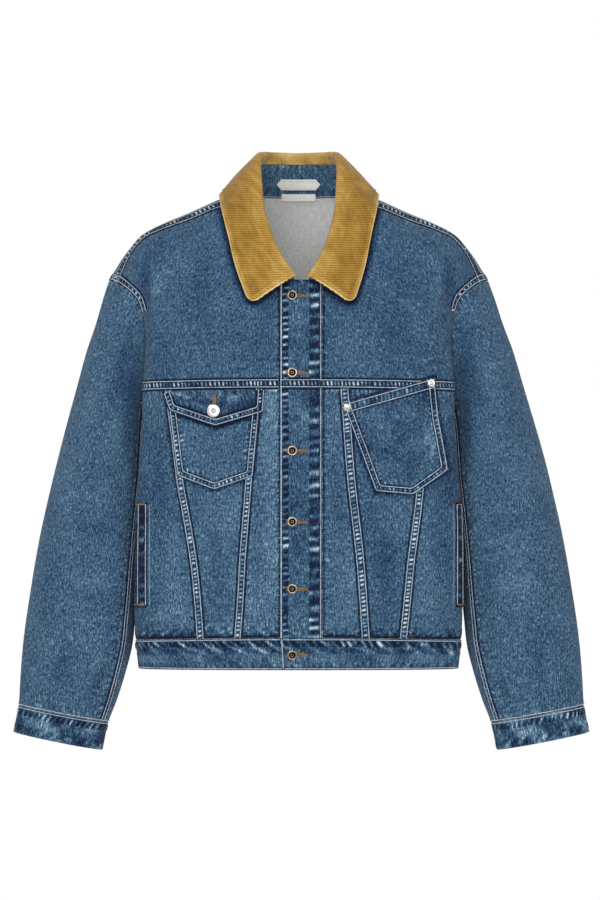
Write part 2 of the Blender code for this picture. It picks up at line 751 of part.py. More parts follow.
def common_normals(grids):
    """Normals of all grids, shared where their points meet."""
    sums = {}
    for grid in grids:
        cells = cell_normals(grid)
        for row in range(cells.shape[0]):
            for column in range(cells.shape[1]):
                for across, up in ((0, 0), (1, 0), (0, 1), (1, 1)):
                    key = point_key(grid[row + up, column + across])
                    sums[key] = sums.get(key, 0) + cells[row, column]
    found = []
    for grid in grids:
        normals = np.array([[unit(sums[point_key(point)]) for point in row] for row in grid])
        found.append(normals)
    return found


def drawn_in(grid, gaps):
    """The grid with its border moved in along the cloth; gaps: below, above, left, right."""
    result = grid.copy()
    for axis in (0, 1):
        facing = np.moveaxis(result, axis, 0)
        for edge, neighbour, gap in ((0, 1, gaps[2 * axis]), (-1, -2, gaps[2 * axis + 1])):
            way = facing[neighbour] - facing[edge]
            seam = np.gradient(facing[edge], axis=0)
            seam /= np.linalg.norm(seam, axis=-1, keepdims=True)
            way = way - seam * (way * seam).sum(-1, keepdims=True)
            length = np.linalg.norm(way, axis=-1, keepdims=True)
            facing[edge] += way / length * (gap / 2 + SEAM_MARGIN)
    return result


def solid_between(name, outer, inner, material):
    """A closed wall between two grids; its outer side faces columns x rows."""
    rows, columns = outer.shape[:2]
    count = rows * columns

    def at(row, column, side):
        return side * count + row * columns + column

    faces = []
    for row in range(rows - 1):
        for column in range(columns - 1):
            ring = ((row, column), (row, column + 1), (row + 1, column + 1), (row + 1, column))
            faces.append([at(r, c, 0) for r, c in ring])
            faces.append([at(r, c, 1) for r, c in reversed(ring)])
    border = [(0, c) for c in range(columns - 1)]
    border += [(r, columns - 1) for r in range(rows - 1)]
    border += [(rows - 1, c) for c in range(columns - 1, 0, -1)]
    border += [(r, 0) for r in range(rows - 1, 0, -1)]
    for start, end in zip(border, border[1:] + border[:1]):
        rim = [at(*end, 0), at(*start, 0), at(*start, 1), at(*end, 1)]
        if (outer[start] - outer[end]).dot(RIM_DIAGONAL) > 0:
            rim = rim[1:] + rim[:1]
        faces.append(rim[:3])
        faces.append([rim[2], rim[3], rim[0]])
    points = np.concatenate([outer.reshape(-1, 3), inner.reshape(-1, 3)])
    return add_mesh(name, points, faces, material)


def add_mesh(name, points, faces, material):
    mesh = bpy.data.meshes.new(name)
    mesh.from_pydata((np.asarray(points) * METRE).tolist(), [], faces)
    mesh.update()
    mesh.shade_smooth()
    mesh.set_sharp_from_angle(angle=SHARP_ANGLE)
    mesh.materials.append(material)
    piece = bpy.data.objects.new(name, mesh)
    bpy.context.scene.collection.objects.link(piece)
    return piece


def wall(name, grid, normals, thickness, material, gaps=EVEN_GAPS):
    outer = drawn_in(grid, gaps)
    return solid_between(name, outer, outer - normals * thickness, material)


# ---------------------------------------------------------------- what lies on the cloth
class Cloth:
    """A surface that pieces are laid on: rays find it, and its own normals lift them off."""

    def __init__(self, grid):
        rows, columns = grid.shape[:2]
        corners = [(r, c) for r in range(rows - 1) for c in range(columns - 1)]
        faces = []
        for r, c in corners:
            first = r * columns + c
            faces.append((first, first + 1, first + columns + 1, first + columns))
        points = [Vector(point) for point in grid.reshape(-1, 3)]
        self.tree = BVHTree.FromPolygons(points, faces)

    def from_front(self, across, height, lift):
        hit, normal, _, _ = self.tree.ray_cast(Vector((across, -FAR, height)), Vector((0, 1, 0)))
        return np.array(hit + normal * lift)

    def from_inside(self, across, height, lift):
        hit, normal, _, _ = self.tree.ray_cast(Vector((across, 0, height)), Vector((0, 1, 0)))
        return np.array(hit - normal * lift)

    def nearest(self, point, lift):
        hit, normal, _, _ = self.tree.find_nearest(Vector(point))
        return np.array(hit + normal * lift)


def stretched(lines, rows):
    """A grid between four lines: lower and upper ones, and its left and right sides."""
    low, high, left, right = (np.array(line, float) for line in lines)

    def along(line, shares):
        runs = np.concatenate([[0], np.cumsum(np.linalg.norm(np.diff(line, axis=0), axis=1))])
        return np.stack([np.interp(shares * runs[-1], runs, line[:, k]) for k in (0, 1)], -1)

    u = np.linspace(0, 1, PATCH_COLUMNS + 1)
    v = np.linspace(0, 1, rows + 1)
    lower_line = along(low, u)[None]
    upper_line = along(high, u)[None]
    left_line = along(left, v)[:, None]
    right_line = along(right, v)[:, None]
    u = u[None, :, None]
    v = v[:, None, None]
    below = (1 - u) * low[0] + u * low[-1]
    above = (1 - u) * high[0] + u * high[-1]
    corners_only = (1 - v) * below + v * above
    return (1 - v) * lower_line + v * upper_line + (1 - u) * left_line + u * right_line - corners_only


def laid(cloth, flat, lift):
    """A flat grid (across, height) laid on the cloth from the front."""
    return np.array([[cloth.from_front(x, z, lift) for x, z in row] for row in flat])


def patch(name, cloth, flat, lift, thickness, material):
    """A piece on the cloth; lift: the gap under it."""
    inner = laid(cloth, flat, lift)
    outer = laid(cloth, flat, lift + thickness)
    return solid_between(name, outer, inner, material)


def turned(name, profile, place, axis, material):
    """A turned piece; profile: radius and distance along the axis, from its back to its front."""
    axis = Vector(axis).normalized()
    frame = axis.to_track_quat("Z", "Y")
    points = []
    faces = []
    for radius, out in profile:
        for k in range(TURNED_SIDES):
            swing = math.tau * k / TURNED_SIDES
            local = Vector((radius * math.cos(swing), radius * math.sin(swing), out))
            points.append(np.array(frame @ local) + place)
    for ring in range(len(profile) - 1):
        first = ring * TURNED_SIDES
        for k in range(TURNED_SIDES):
            after = (k + 1) % TURNED_SIDES
            above = first + TURNED_SIDES
            faces.append([first + k, first + after, above + after, above + k])
    last = (len(profile) - 1) * TURNED_SIDES
    faces.append([k for k in reversed(range(TURNED_SIDES))])
    faces.append([last + k for k in range(TURNED_SIDES)])
    return add_mesh(name, points, faces, material)


def new_material(name, colour, roughness, metallic=0.0):
    made = bpy.data.materials.new(name)
    made.use_nodes = True
    shader = made.node_tree.nodes["Principled BSDF"]
    shader.inputs["Base Color"].default_value = (*colour, 1)
    shader.inputs["Roughness"].default_value = roughness
    shader.inputs["Metallic"].default_value = metallic
    return made


# ---------------------------------------------------------------- the pieces
def denim(name):
    return new_material(name, DENIM_COLOUR, CLOTH_ROUGHNESS)


def body_pieces(front, front_normals, back, back_normals, band, band_normals):
    lower_rows = slice(0, YOKE_ROW + 1)
    upper_rows = slice(YOKE_ROW, None)
    stops = [0]
    for count in HALF_COUNTS[::-1] + (PLACKET_COLUMNS,) + HALF_COUNTS:
        stops.append(stops[-1] + count)
    for panel, first, last in zip(FRONT_PANELS, stops, stops[1:]):
        if panel is None:
            continue
        part = (lower_rows, slice(first, last + 1))
        name = "front_" + panel
        wall(name, front[part], front_normals[part], DENIM, denim(name))
    for side, first, last in (("right", 0, LEFT_EDGE), ("left", RIGHT_EDGE, front.shape[1] - 1)):
        part = (upper_rows, slice(first, last + 1))
        name = "front_yoke_" + side
        wall(name, front[part], front_normals[part], DENIM, denim(name))
    strip = (slice(None), slice(LEFT_EDGE, RIGHT_EDGE + 1))
    wall("placket_under", front[strip], front_normals[strip], DENIM, denim("placket_under"))
    over = front[strip] + front_normals[strip] * OVERLAP
    wall("placket_over", over, front_normals[strip], DENIM, denim("placket_over"))
    wall("back", back, back_normals, DENIM, denim("back"))
    wall("waistband", band, band_normals, DOUBLED, denim("waistband"), WIDE_ABOVE)
    return over


def sleeve_pieces(side, grid, normals):
    name = "left" if side > 0 else "right"
    columns = grid.shape[1]
    under = [(UNDER_SLEEVE_FROM + k) % columns for k in range(UNDER_SLEEVE_COLUMNS + 1)]
    above = [(under[-1] + k) % columns for k in range(columns - UNDER_SLEEVE_COLUMNS + 1)]
    whole = [(UNDER_SLEEVE_FROM + k) % columns for k in range(columns + 1)]
    parts = (
        ("sleeve_under_" + name, slice(1, None), under, DENIM),
        ("sleeve_upper_" + name, slice(1, None), above, DENIM),
        ("cuff_" + name, slice(0, 2), whole, DOUBLED),
    )
    for title, rows, picked, thickness in parts:
        piece = grid[rows][:, picked]
        piece_normals = normals[rows][:, picked]
        if side < 0:
            piece = mirrored(piece)
            piece_normals = mirrored(piece_normals)
        wall(title, piece, piece_normals, thickness, denim(title), WIDE_ABOVE)


def collar_pieces(grid, normals):
    rows = len(STAND_SHARES)
    stand = (slice(0, rows), slice(None))
    fall = (slice(rows - 1, None), slice(None))
    wall("collar_stand", grid[stand], normals[stand], DENIM, denim("collar_stand"), WIDE_BELOW)
    corduroy = new_material("collar", CORDUROY_COLOUR, CLOTH_ROUGHNESS)
    wall("collar", grid[fall], normals[fall], CORDUROY, corduroy)
    return Cloth(grid[stand] - normals[stand] * DENIM)


def pocket_pieces(cloth):
    """The flapped pocket, the tilted pocket, and their metal."""
    pocket = stretched((POCKET_BOTTOM, POCKET_TOP, POCKET_RIGHT_SIDE, POCKET_LEFT_SIDE), POCKET_ROWS)
    patch("chest_pocket", cloth, pocket, POCKET_LIFT, DENIM, denim("chest_pocket"))
    sides = [(FLAP_BOTTOM[i], FLAP_TOP[i]) for i in (0, -1)]
    flap = stretched((FLAP_BOTTOM, FLAP_TOP, *sides), FLAP_ROWS)
    patch("chest_flap", cloth, flap, FLAP_LIFT, DENIM, denim("chest_flap"))
    tilted = stretched((TILTED_BOTTOM, TILTED_TOP, TILTED_INNER_SIDE, TILTED_OUTER_SIDE), POCKET_ROWS)
    patch("tilted_pocket", cloth, tilted, POCKET_LIFT, DENIM, denim("tilted_pocket"))
    fasten("flap_button", cloth, *FLAP_BUTTON, FLAP_LIFT + DENIM, FLAP_BUTTON_RADIUS, BUTTON_PROFILE)
    for i, (across, height) in enumerate(RIVETS):
        lift = POCKET_LIFT + DENIM
        fasten(f"rivet_{i + 1}", cloth, across, height, lift, RIVET_RADIUS, RIVET_PROFILE)


def fasten(name, cloth, across, height, lift, radius, profile):
    """A button or rivet seated on what lies lift above the cloth."""
    place = cloth.from_front(across, height, lift + SEAT)
    axis = place - cloth.from_front(across, height, 0)
    metal = new_material(name, METAL_COLOUR, METAL_ROUGHNESS, 1.0)
    sizes = [(radius * share, out) for share, out in profile]
    turned(name, sizes, place, axis, metal)


def welt(side, cloth):
    """A side pocket's welt, from the front round toward the side."""
    name = "welt_left" if side > 0 else "welt_right"
    inner = []
    outer = []
    for height in np.linspace(WELT_BOTTOM, WELT_TOP, WELT_ROWS + 1):
        first = abs(lower_angle(-1, WELT_INNER[side], height))
        fine = np.linspace(first, 90, SEARCH_STEPS)
        points = lower(-1, side * fine, np.full(len(fine), height))
        runs = np.concatenate([[0], np.cumsum(np.linalg.norm(np.diff(points, axis=0), axis=1))])
        angles = np.interp(np.linspace(0, WELT_WIDTH, WELT_COLUMNS + 1), runs, fine)
        if side < 0:
            angles = angles[::-1]
        row = lower(-1, side * angles, np.full(len(angles), height))
        inner.append([cloth.nearest(point, WELT_LIFT) for point in row])
        outer.append([cloth.nearest(point, WELT_LIFT + WELT_THICKNESS) for point in row])
    solid_between(name, np.array(outer), np.array(inner), denim(name))


def label_pieces(stand_inside):
    """The two bare labels inside the neck."""
    half_width, half_height, middle = NECK_LABEL
    plate = []
    for across in np.linspace(half_width, -half_width, LABEL_POINTS):
        narrowing = max(abs(across) - (half_width - NECK_LABEL_POINT), 0) / NECK_LABEL_POINT
        half = half_height * (1 - NECK_LABEL_TAPER * narrowing)
        plate.append([(across, middle - half), (across, middle), (across, middle + half)])
    flat = np.array(plate).transpose(1, 0, 2)
    sides = []
    for lift in (LABEL_LIFT, LABEL_LIFT + LABEL_THICKNESS):
        sides.append(np.array([[stand_inside.from_inside(x, z, lift) for x, z in row] for row in flat]))
    label = new_material("neck_label", LABEL_COLOUR, LABEL_ROUGHNESS)
    solid_between("neck_label", sides[0], sides[1], label)
    half_width, top, bottom = CARE_LABEL
    across = np.linspace(half_width, -half_width, LABEL_POINTS)
    sides = []
    for lift in (LABEL_LIFT, LABEL_LIFT + LABEL_THICKNESS):
        sewn = np.array([stand_inside.from_inside(x, top, lift) for x in across])
        hanging = np.stack([sewn[:, 0], sewn[:, 1], np.full(len(across), bottom)], -1)
        sides.append(np.array([hanging, sewn]))
    label = new_material("care_label", LABEL_COLOUR, LABEL_ROUGHNESS)
    solid_between("care_label", sides[0], sides[1], label)


def main():
    for thing in list(bpy.data.objects):
        bpy.data.objects.remove(thing)
    front = front_grid()
    back = back_grid()
    band = waistband_grid()
    loop = armhole_loop(front, back)
    right_sleeve = sleeve_grid(loop, 0)
    left_sleeve = sleeve_grid(loop, LEFT_SLEEVE_SWING)
    neck = neck_loop(front, back)
    collar = collar_grid(neck)
    closed_right = np.concatenate([right_sleeve, right_sleeve[:, :1]], 1)
    closed_left = np.concatenate([left_sleeve, left_sleeve[:, :1]], 1)
    grids = [front, back, band, closed_left, mirrored(closed_right), collar]
    front_n, back_n, band_n, left_n, right_n, collar_n = common_normals(grids)
    right_n = mirrored(right_n)
    over = body_pieces(front, front_n, back, back_n, band, band_n)
    sleeve_pieces(1, left_sleeve, left_n[:, :-1])
    sleeve_pieces(-1, right_sleeve, right_n[:, :-1])
    stand_inside = collar_pieces(collar, collar_n)
    cloth = Cloth(fine_front())
    pocket_pieces(cloth)
    welt(1, cloth)
    welt(-1, cloth)
    label_pieces(stand_inside)
    buttoned = Cloth(over)
    for i, height in enumerate(BUTTON_HEIGHTS[:-1]):
        fasten(f"button_{i + 1}", buttoned, BUTTON_ACROSS, height, 0, BUTTON_RADIUS, BUTTON_PROFILE)
    waist = Cloth(band)
    fasten("button_6", waist, BUTTON_ACROSS, BUTTON_HEIGHTS[-1], 0, BUTTON_RADIUS, BUTTON_PROFILE)


main()
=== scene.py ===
"""The looks of the denim jacket with the corduroy collar.

Each wall of cloth is worked out as in the construction, from the same tables, and then drawn
much finer, with its folds, puckers, raised seams and stitches. Lengths are in millimetres
until a mesh is made.
"""
import math
from collections import namedtuple

import bpy
import numpy as np
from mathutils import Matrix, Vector
from mathutils.bvhtree import BVHTree


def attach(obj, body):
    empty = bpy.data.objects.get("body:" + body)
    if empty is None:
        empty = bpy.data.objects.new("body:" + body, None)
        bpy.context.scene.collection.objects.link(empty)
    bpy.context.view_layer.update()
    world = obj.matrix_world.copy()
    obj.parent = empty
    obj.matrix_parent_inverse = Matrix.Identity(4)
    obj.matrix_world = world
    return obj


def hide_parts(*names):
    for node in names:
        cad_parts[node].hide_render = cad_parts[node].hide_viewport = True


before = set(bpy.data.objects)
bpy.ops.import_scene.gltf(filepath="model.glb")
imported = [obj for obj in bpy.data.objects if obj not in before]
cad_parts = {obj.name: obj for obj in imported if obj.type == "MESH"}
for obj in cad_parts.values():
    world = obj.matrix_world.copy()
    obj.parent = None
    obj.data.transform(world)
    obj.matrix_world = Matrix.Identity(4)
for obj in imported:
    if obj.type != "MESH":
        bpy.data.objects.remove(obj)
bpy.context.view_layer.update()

METRE = 0.001


def table(fields, *rows):
    """Rows of numbers whose fields have names."""
    row_of = namedtuple("Row", fields)
    return tuple(row_of(*row) for row in rows)


# ---------------------------------------------------------------- driving dimensions
DENIM = 1.6  # thickness of one wall of denim
DOUBLED = 2.0  # waistband and cuffs, two layers pressed together
CORDUROY = 2.4
SEAM_GAP = 0.3
EVEN_GAPS = (SEAM_GAP, SEAM_GAP, SEAM_GAP, SEAM_GAP)  # below, above, left, right
WIDE_ABOVE = (SEAM_GAP, 0.8, SEAM_GAP, SEAM_GAP)  # where two walls meet at an angle
WIDE_BELOW = (0.8, SEAM_GAP, SEAM_GAP, SEAM_GAP)
HEM = -623.0
WAIST_SEAM = -584.0
UNDERARM = -300.0
YOKE_SEAM = -256.0
PLACKET_FROM = -24.0  # the over placket's free edge
PLACKET_TO = 32.0  # its stitched edge
PLACKET_BOW = 0.5  # how far the middle of the placket stands forward
CORNER = 4.2  # exponent of the body's rounded section
CROWN = 0.12  # share of the depth that the front and back lose toward the sides
ARM_PRESS_WIDTH = 52.0
CLOSING = 0.909  # how soon a column of cloth rises before it turns over the shoulder
NECK_HALF_WIDTH = 88.5
NECK_BACK = 78.0
BUTTON_RADIUS = 7.0
FLAP_BUTTON_RADIUS = 8.8
RIVET_RADIUS = 5.0

# The body's level sections below the yoke seam. hollow: how far the arm presses the side in.
# rise: how much higher a level seam lies at the centre than at the side.
SECTIONS = table(
    "height half_width front back hollow rise",
    (-623, 220, 88, 86, 10, 0), (-606, 223.5, 92, 89, 13, 2), (-584, 228, 97, 92, 18, 4),
    (-530, 232, 103, 98, 26, 4), (-470, 232, 109, 104, 33, 3), (-400, 230, 113, 108, 37, 3),
    (-340, 225, 116, 112, 35, 3), (-300, 221, 117, 114, 31, 3), (-256, 218, 117, 116, 27, 3),
)

# Above the yoke seam: turn goes from 0 at the yoke seam in front, over 90 on top of the
# shoulder, to 180 at the same height behind.
REACHES = table(
    "turn half_width hollow",
    (0, 218, 27), (12, 217, 21), (24, 218, 14), (36, 224, 6), (48, 238, 2), (60, 250, 0), (90, 258, 0),
)

# The line of the shoulders seen from the front.
RIDGE = table(
    "across height",
    (0, 10), (70, 9), (90, 6), (107, 0), (145, -17), (189, -35), (213, -49), (232, -71), (244, -89),
    (254, -107),
)

# The armhole from the top of the shoulder down to the level of the yoke seam.
ARMHOLE = table(
    "height across front back",
    (-107, 254, 0, 0), (-111, 241, 26, 24), (-121, 226, 43, 41), (-138, 211, 52, 50),
    (-165, 204, 54, 53), (-200, 202, 51, 52),
)
# The shoulder seam, from the neck to the armhole.
SHOULDER_SEAM = table(
    "share turn",
    (0, 71.5), (0.55, 72.5), (0.8, 72),
)
ARMHOLE_AT_YOKE = 42.0  # its distance before and behind the side seam, at the yoke seam
ARMHOLE_BOTTOM_SHAPE = 0.62

# The front neckline under the collar.
NECKLINE = table(
    "across height",
    (32, -110), (46, -92), (60, -70), (73, -45), (83, -22), (88.5, -5),
)
BACK_NECK_TURN = 99.0

# The slanting seams of the lower front, as distances to the wearer's left of the middle.
SLANTS = table(
    "height outer_right inner_right inner_left outer_left",
    (-590, -125, -82, 90, 136), (-530, -131, -76.5, 86, 142), (-477, -138, -73, 82, 147),
    (-425, -148, -68, 76, 154), (-370, -159, -63, 70, 160), (-256, -175, -48, 61.5, 168),
)

# The collar from the centre back (along 0) to its front end (along 1): its roll, and the
# turn of its outer edge over the shoulder with that edge's distance from the middle.
COLLAR = table(
    "along roll_x roll_y roll_z edge_x edge_turn",
    (0.00, 0, 74, 62.2, 0, 112), (0.12, 28, 70, 62.7, 42, 111), (0.22, 44, 54, 62.5, 72, 108),
    (0.32, 52.5, 28, 59.5, 92, 102), (0.42, 55, 2, 51, 102, 95), (0.52, 55, -22, 35, 104, 84),
    (0.62, 53.5, -45, 12, 100, 62.5), (0.72, 51, -65, -15, 93, 49.0), (0.82, 44, -83, -43, 86, 37.6),
    (0.91, 33.5, -100, -73, 77, 29.2), (1.00, 15, -117, -102.5, 67, 22.4),
)
COLLAR_SHIFT = 4.0  # the front ends lie this far to the wearer's left
STAND_SHARE = 0.69  # denim's share of the collar's inner height
LEAF_CLEARANCE = 3.4

# The sleeve's rings from the armhole to the cuff's end, by their outer and inner point seen from
# the front, their half depth, and how far forward their middle lies.
SLEEVE = table(
    "outer_x outer_z inner_x inner_z half_depth forward",
    (254, -107, 193, -300, 55, 0), (262, -133, 199, -311, 59, 0), (271, -166, 202, -328, 63, 0),
    (283, -203, 203, -350, 68, 0), (296, -252, 204, -378, 73, 1), (309, -300, 206, -408, 73, 3),
    (321, -347, 208, -438, 72, 5), (332, -393, 210, -466, 70, 8), (342, -438, 212, -494, 67, 11),
    (350, -481, 214, -524, 63, 14), (357, -525, 217, -558, 59, 17), (363, -566, 221, -594, 54, 20),
    (367, -603, 230, -630, 48, 23), (369.5, -640, 241, -665, 41, 26),
    (371.5, -671.5, 252, -694, 35, 28), (378.5, -707, 260, -731, 34, 30),
)
LEFT_SLEEVE_SWING = 7.5  # the wearer's left sleeve stands this much farther out

# Buttons of the placket by their height.
BUTTON_HEIGHTS = (-131, -232, -334, -427, -515, -602)
BUTTON_ACROSS = -8.0
SEAT = 0.4  # gap under a button or rivet

# Outlines of what lies on the front, as (across, height) seen from the front.
FLAP_TOP = ((-178, -256.5), (-44, -255))
FLAP_BOTTOM = ((-169.5, -281.5), (-109, -302), (-46, -283.5))
FLAP_BUTTON = (-111, -282)
POCKET_TOP = ((-172, -262), (-48, -262))
POCKET_BOTTOM = ((-159, -367), (-110.5, -385.5), (-59.5, -368))
POCKET_RIGHT_SIDE = ((-159, -367), (-169.5, -281), (-172, -262))
POCKET_LEFT_SIDE = ((-59.5, -368), (-51.5, -286), (-48, -262))
TILTED_TOP = ((58, -272.5), (178.5, -238))
TILTED_BOTTOM = ((101, -387.5), (150.5, -392), (197, -359.5))
TILTED_INNER_SIDE = ((101, -387.5), (58, -272.5))
TILTED_OUTER_SIDE = ((197, -359.5), (184, -290), (178.5, -238))
RIVETS = ((63.5, -277.5), (174, -245.5))
POCKET_LIFT = 0.6
FLAP_LIFT = 2.7
WELT_INNER = {-1: 199, 1: 207}  # the welts' inner edges from the middle, right and left
WELT_BOTTOM = -541
WELT_TOP = -402
WELT_WIDTH = 25
WELT_LIFT = 0.5
WELT_THICKNESS = 1.8
NECK_LABEL = (29.5, 7.2, 24.8)  # half width, half height, height of its middle
NECK_LABEL_POINT = 6.0
CARE_LABEL = (23.0, 12.5, 2.8)  # half width, top, bottom
LABEL_THICKNESS = 1.0
LABEL_LIFT = 0.4

OVERLAP = 2.2  # how far the over placket and the waistband's shown end are lifted
ROLL_RADIUS = 2.8
LEAF_PUFF = 4.0  # how far the leaf stands off a straight line from its roll to its edge
PUFF_SHAPE = 0.8
SHIFT_POWER = 3
STAND_SHARES = (0, 0.25, 0.5, STAND_SHARE)
INNER_SHARES = (0.85,)
ROLL_DEGREES = (0, 45, 90, 135, 180)
LEAF_SHARES = (0.12, 0.3, 0.5, 0.7, 0.86, 1.0)
WAISTBAND_HEIGHTS = (HEM, (HEM + WAIST_SEAM) / 2, WAIST_SEAM)
LIFT_COLUMNS = 3  # columns over which the waistband's shown end comes down again
SWING_RINGS = 6  # rings over which the left sleeve swings out
LOOP_FADE_RINGS = 4  # rings over which the armhole's shape fades from the sleeve
INNER_SWING = 0.4
BACK_BEND = 1.5
NECK_TUCK = 0.2
SEAM_MARGIN = 0.02
PROBE = np.array([-0.5, 0.5])
FAR = 400.0
ARMHOLE_SEARCH = 50.0  # the armhole lies between this angle and the side
WIDEST_ANGLE = 86.0
SEARCH_STEPS = 401

# Grid counts.
SIDE_COLUMNS = 6
MIDDLE_COLUMNS = 5
CENTRE_COLUMNS = 4
PLACKET_COLUMNS = 3
NECK_COLUMNS = 6
BACK_NECK_COLUMNS = 7
BACK_SPREAD = 48.0  # the angle below the yoke's height at which those columns end
BACK_NECK_SIDE = 0.72  # the share of those columns behind the shoulder's top
LOWER_HEIGHTS = (-584, -552, -520, -484, -448, -410, -374, -338, -300, -278, -256)
FRONT_TURNS = 10
BACK_TURNS = 13


# ---------------------------------------------------------------- curves through tables
def through(keys, values, at):
    """A smooth curve through the values that doesn't overshoot them."""
    keys = np.asarray(keys, float)
    values = np.asarray(values, float)
    steps = np.diff(keys)
    rates = np.diff(values) / steps
    slopes = np.empty(len(keys))
    slopes[0] = rates[0]
    slopes[-1] = rates[-1]
    before = rates[:-1]
    after = rates[1:]
    same_way = before * after > 0
    safe = np.where(same_way, before + after, 1.0)
    slopes[1:-1] = np.where(same_way, 2 * before * after / safe, 0.0)
    at = np.clip(np.asarray(at, float), keys[0], keys[-1])
    i = np.clip(np.searchsorted(keys, at, side="right") - 1, 0, len(steps) - 1)
    t = (at - keys[i]) / steps[i]
    start = values[i] * (1 + 2 * t) * (1 - t) ** 2
    end = values[i + 1] * (3 - 2 * t) * t**2
    leave = slopes[i] * steps[i] * t * (1 - t) ** 2
    arrive = slopes[i + 1] * steps[i] * (t - 1) * t**2
    return start + end + leave + arrive


def read(table, key, value, at):
    rows = sorted(table, key=lambda row: getattr(row, key))
    keys = [getattr(row, key) for row in rows]
    return through(keys, [getattr(row, value) for row in rows], at)


def smooth_step(t):
    t = np.clip(t, 0.0, 1.0)
    return t * t * (3 - 2 * t)


def bell(distance, width):
    """1 at no distance, falling off softly on both sides."""
    return np.exp(-((distance / width) ** 2))


def unit_rows(vectors):
    return vectors / np.linalg.norm(vectors, axis=-1, keepdims=True)


def runs_along(points, axis=0):
    """Distances along a line, or along the rows or columns of a grid, from its start."""
    steps = np.linalg.norm(np.diff(points, axis=axis), axis=-1)
    start = np.zeros_like(np.take(steps, [0], axis))
    return np.concatenate([start, np.cumsum(steps, axis)], axis)


# ---------------------------------------------------------------- the body's form
def pressed_in(x, y, hollow):
    """The sides pressed in by the arms."""
    return x - np.sign(x) * hollow * bell(y, ARM_PRESS_WIDTH)


def outline(angle, half_width, depth):
    """A rounded, slightly crowned section. angle: degrees from the middle to the side."""
    side = np.sin(np.radians(angle))
    ahead = np.cos(np.radians(angle))
    span = np.abs(side / half_width) ** CORNER + np.abs(ahead / depth) ** CORNER
    radius = span ** (-1 / CORNER)
    x = radius * side
    return x, radius * ahead * (1 - CROWN * (x / half_width) ** 2)


def lower(face, angle, height):
    """Points of the body below the yoke seam. face: -1 in front, 1 behind."""
    height = np.full(np.shape(angle), height, float)
    half_width = read(SECTIONS, "height", "half_width", height)
    depth = read(SECTIONS, "height", "front" if face < 0 else "back", height)
    x, reach = outline(angle, half_width, depth)
    y = face * reach
    rise = read(SECTIONS, "height", "rise", height) * (1 - (x / half_width) ** 2)
    x = pressed_in(x, y, read(SECTIONS, "height", "hollow", height))
    return np.stack([x, y, height + rise], -1)


def neck_curve(x):
    """How far back the shoulders' top lies: beside the neck it follows the neck's back."""
    inside = np.clip(1 - (x / NECK_HALF_WIDTH) ** 2, 0, 1)
    return NECK_BACK * np.sqrt(inside)


def upper(angle, turn):
    """Points of the body above the yoke seam, turned over the shoulder."""
    turn = np.full(np.shape(angle), turn, float)
    behind = turn > 90
    folded = np.where(behind, 180 - turn, turn)
    half_width = read(REACHES, "turn", "half_width", folded)
    depth = np.where(behind, SECTIONS[-1].back, SECTIONS[-1].front)
    x, reach = outline(angle, half_width, depth)
    y = np.where(behind, reach, -reach)
    ridge = np.where(behind, neck_curve(x), 0.0)
    closed = np.cos(np.radians(folded))
    y = ridge + (y - ridge) * closed
    risen = np.sin(np.radians(folded)) ** CLOSING
    start = YOKE_SEAM + SECTIONS[-1].rise * (1 - (x / half_width) ** 2)
    z = start + risen * (read(RIDGE, "across", "height", np.abs(x)) - start)
    x = pressed_in(x, y, read(REACHES, "turn", "hollow", folded))
    return np.stack([x, y, z], -1)


SAMPLES = np.linspace(0, WIDEST_ANGLE, SEARCH_STEPS)


def angle_at(x, points):
    """The angle at which a row of points, one for each of SAMPLES, passes x."""
    rising = np.maximum.accumulate(points[:, 0])
    return math.copysign(np.interp(abs(x), rising, SAMPLES), x)


def lower_angle(face, x, height):
    return angle_at(x, lower(face, SAMPLES, height))


def upper_angle(x, turn):
    return angle_at(x, upper(SAMPLES, turn))


def turn_of(across, height):
    """The turn in front at which the body is this high."""
    start = YOKE_SEAM + SECTIONS[-1].rise * (1 - (across / SECTIONS[-1].half_width) ** 2)
    top = read(RIDGE, "across", "height", abs(across))
    risen = np.clip((height - start) / (top - start), 0, 1)
    return math.degrees(math.asin(risen ** (1 / CLOSING)))


# ---------------------------------------------------------------- the armhole
def armhole_low(face, height):
    """The armhole between the underarm and the yoke seam, on the body's own section."""
    share = (height - UNDERARM) / (YOKE_SEAM - UNDERARM)
    away = ARMHOLE_AT_YOKE * max(share, 0.0) ** ARMHOLE_BOTTOM_SHAPE
    fine = np.linspace(ARMHOLE_SEARCH, 90, SEARCH_STEPS)
    points = lower(face, fine, height)
    nearest = int(np.argmin(np.abs(np.abs(points[:, 1]) - away)))
    return points[nearest], fine[nearest]


def armhole_high(turn):
    """The armhole above the yoke seam, by the turn over the shoulder."""
    face = "front" if turn <= 90 else "back"
    folded = turn if turn <= 90 else 180 - turn
    base = armhole_low(-1 if turn <= 90 else 1, YOKE_SEAM)[0]
    rows = sorted(ARMHOLE, key=lambda row: row.height)
    turns = [0.0]
    turns += [turn_of(row.across, row.height) for row in rows[:-1]]
    turns += [90.0]
    across = [base[0]] + [row.across for row in rows]
    heights = [base[2]] + [row.height for row in rows]
    depths = [abs(base[1])] + [getattr(row, face) for row in rows]
    sign = -1 if turn <= 90 else 1
    return np.array([
        through(turns, across, folded),
        sign * through(turns, depths, folded),
        through(turns, heights, folded),
    ])


def armhole_angle(turn):
    """The angle of the form's own point that lies nearest the armhole."""
    target = armhole_high(turn)
    fine = np.linspace(ARMHOLE_SEARCH, 90, SEARCH_STEPS)
    points = upper(fine, turn)
    return fine[int(np.argmin(((points - target) ** 2).sum(1)))]


SHOULDER_END = turn_of(ARMHOLE[1].across, ARMHOLE[1].height)


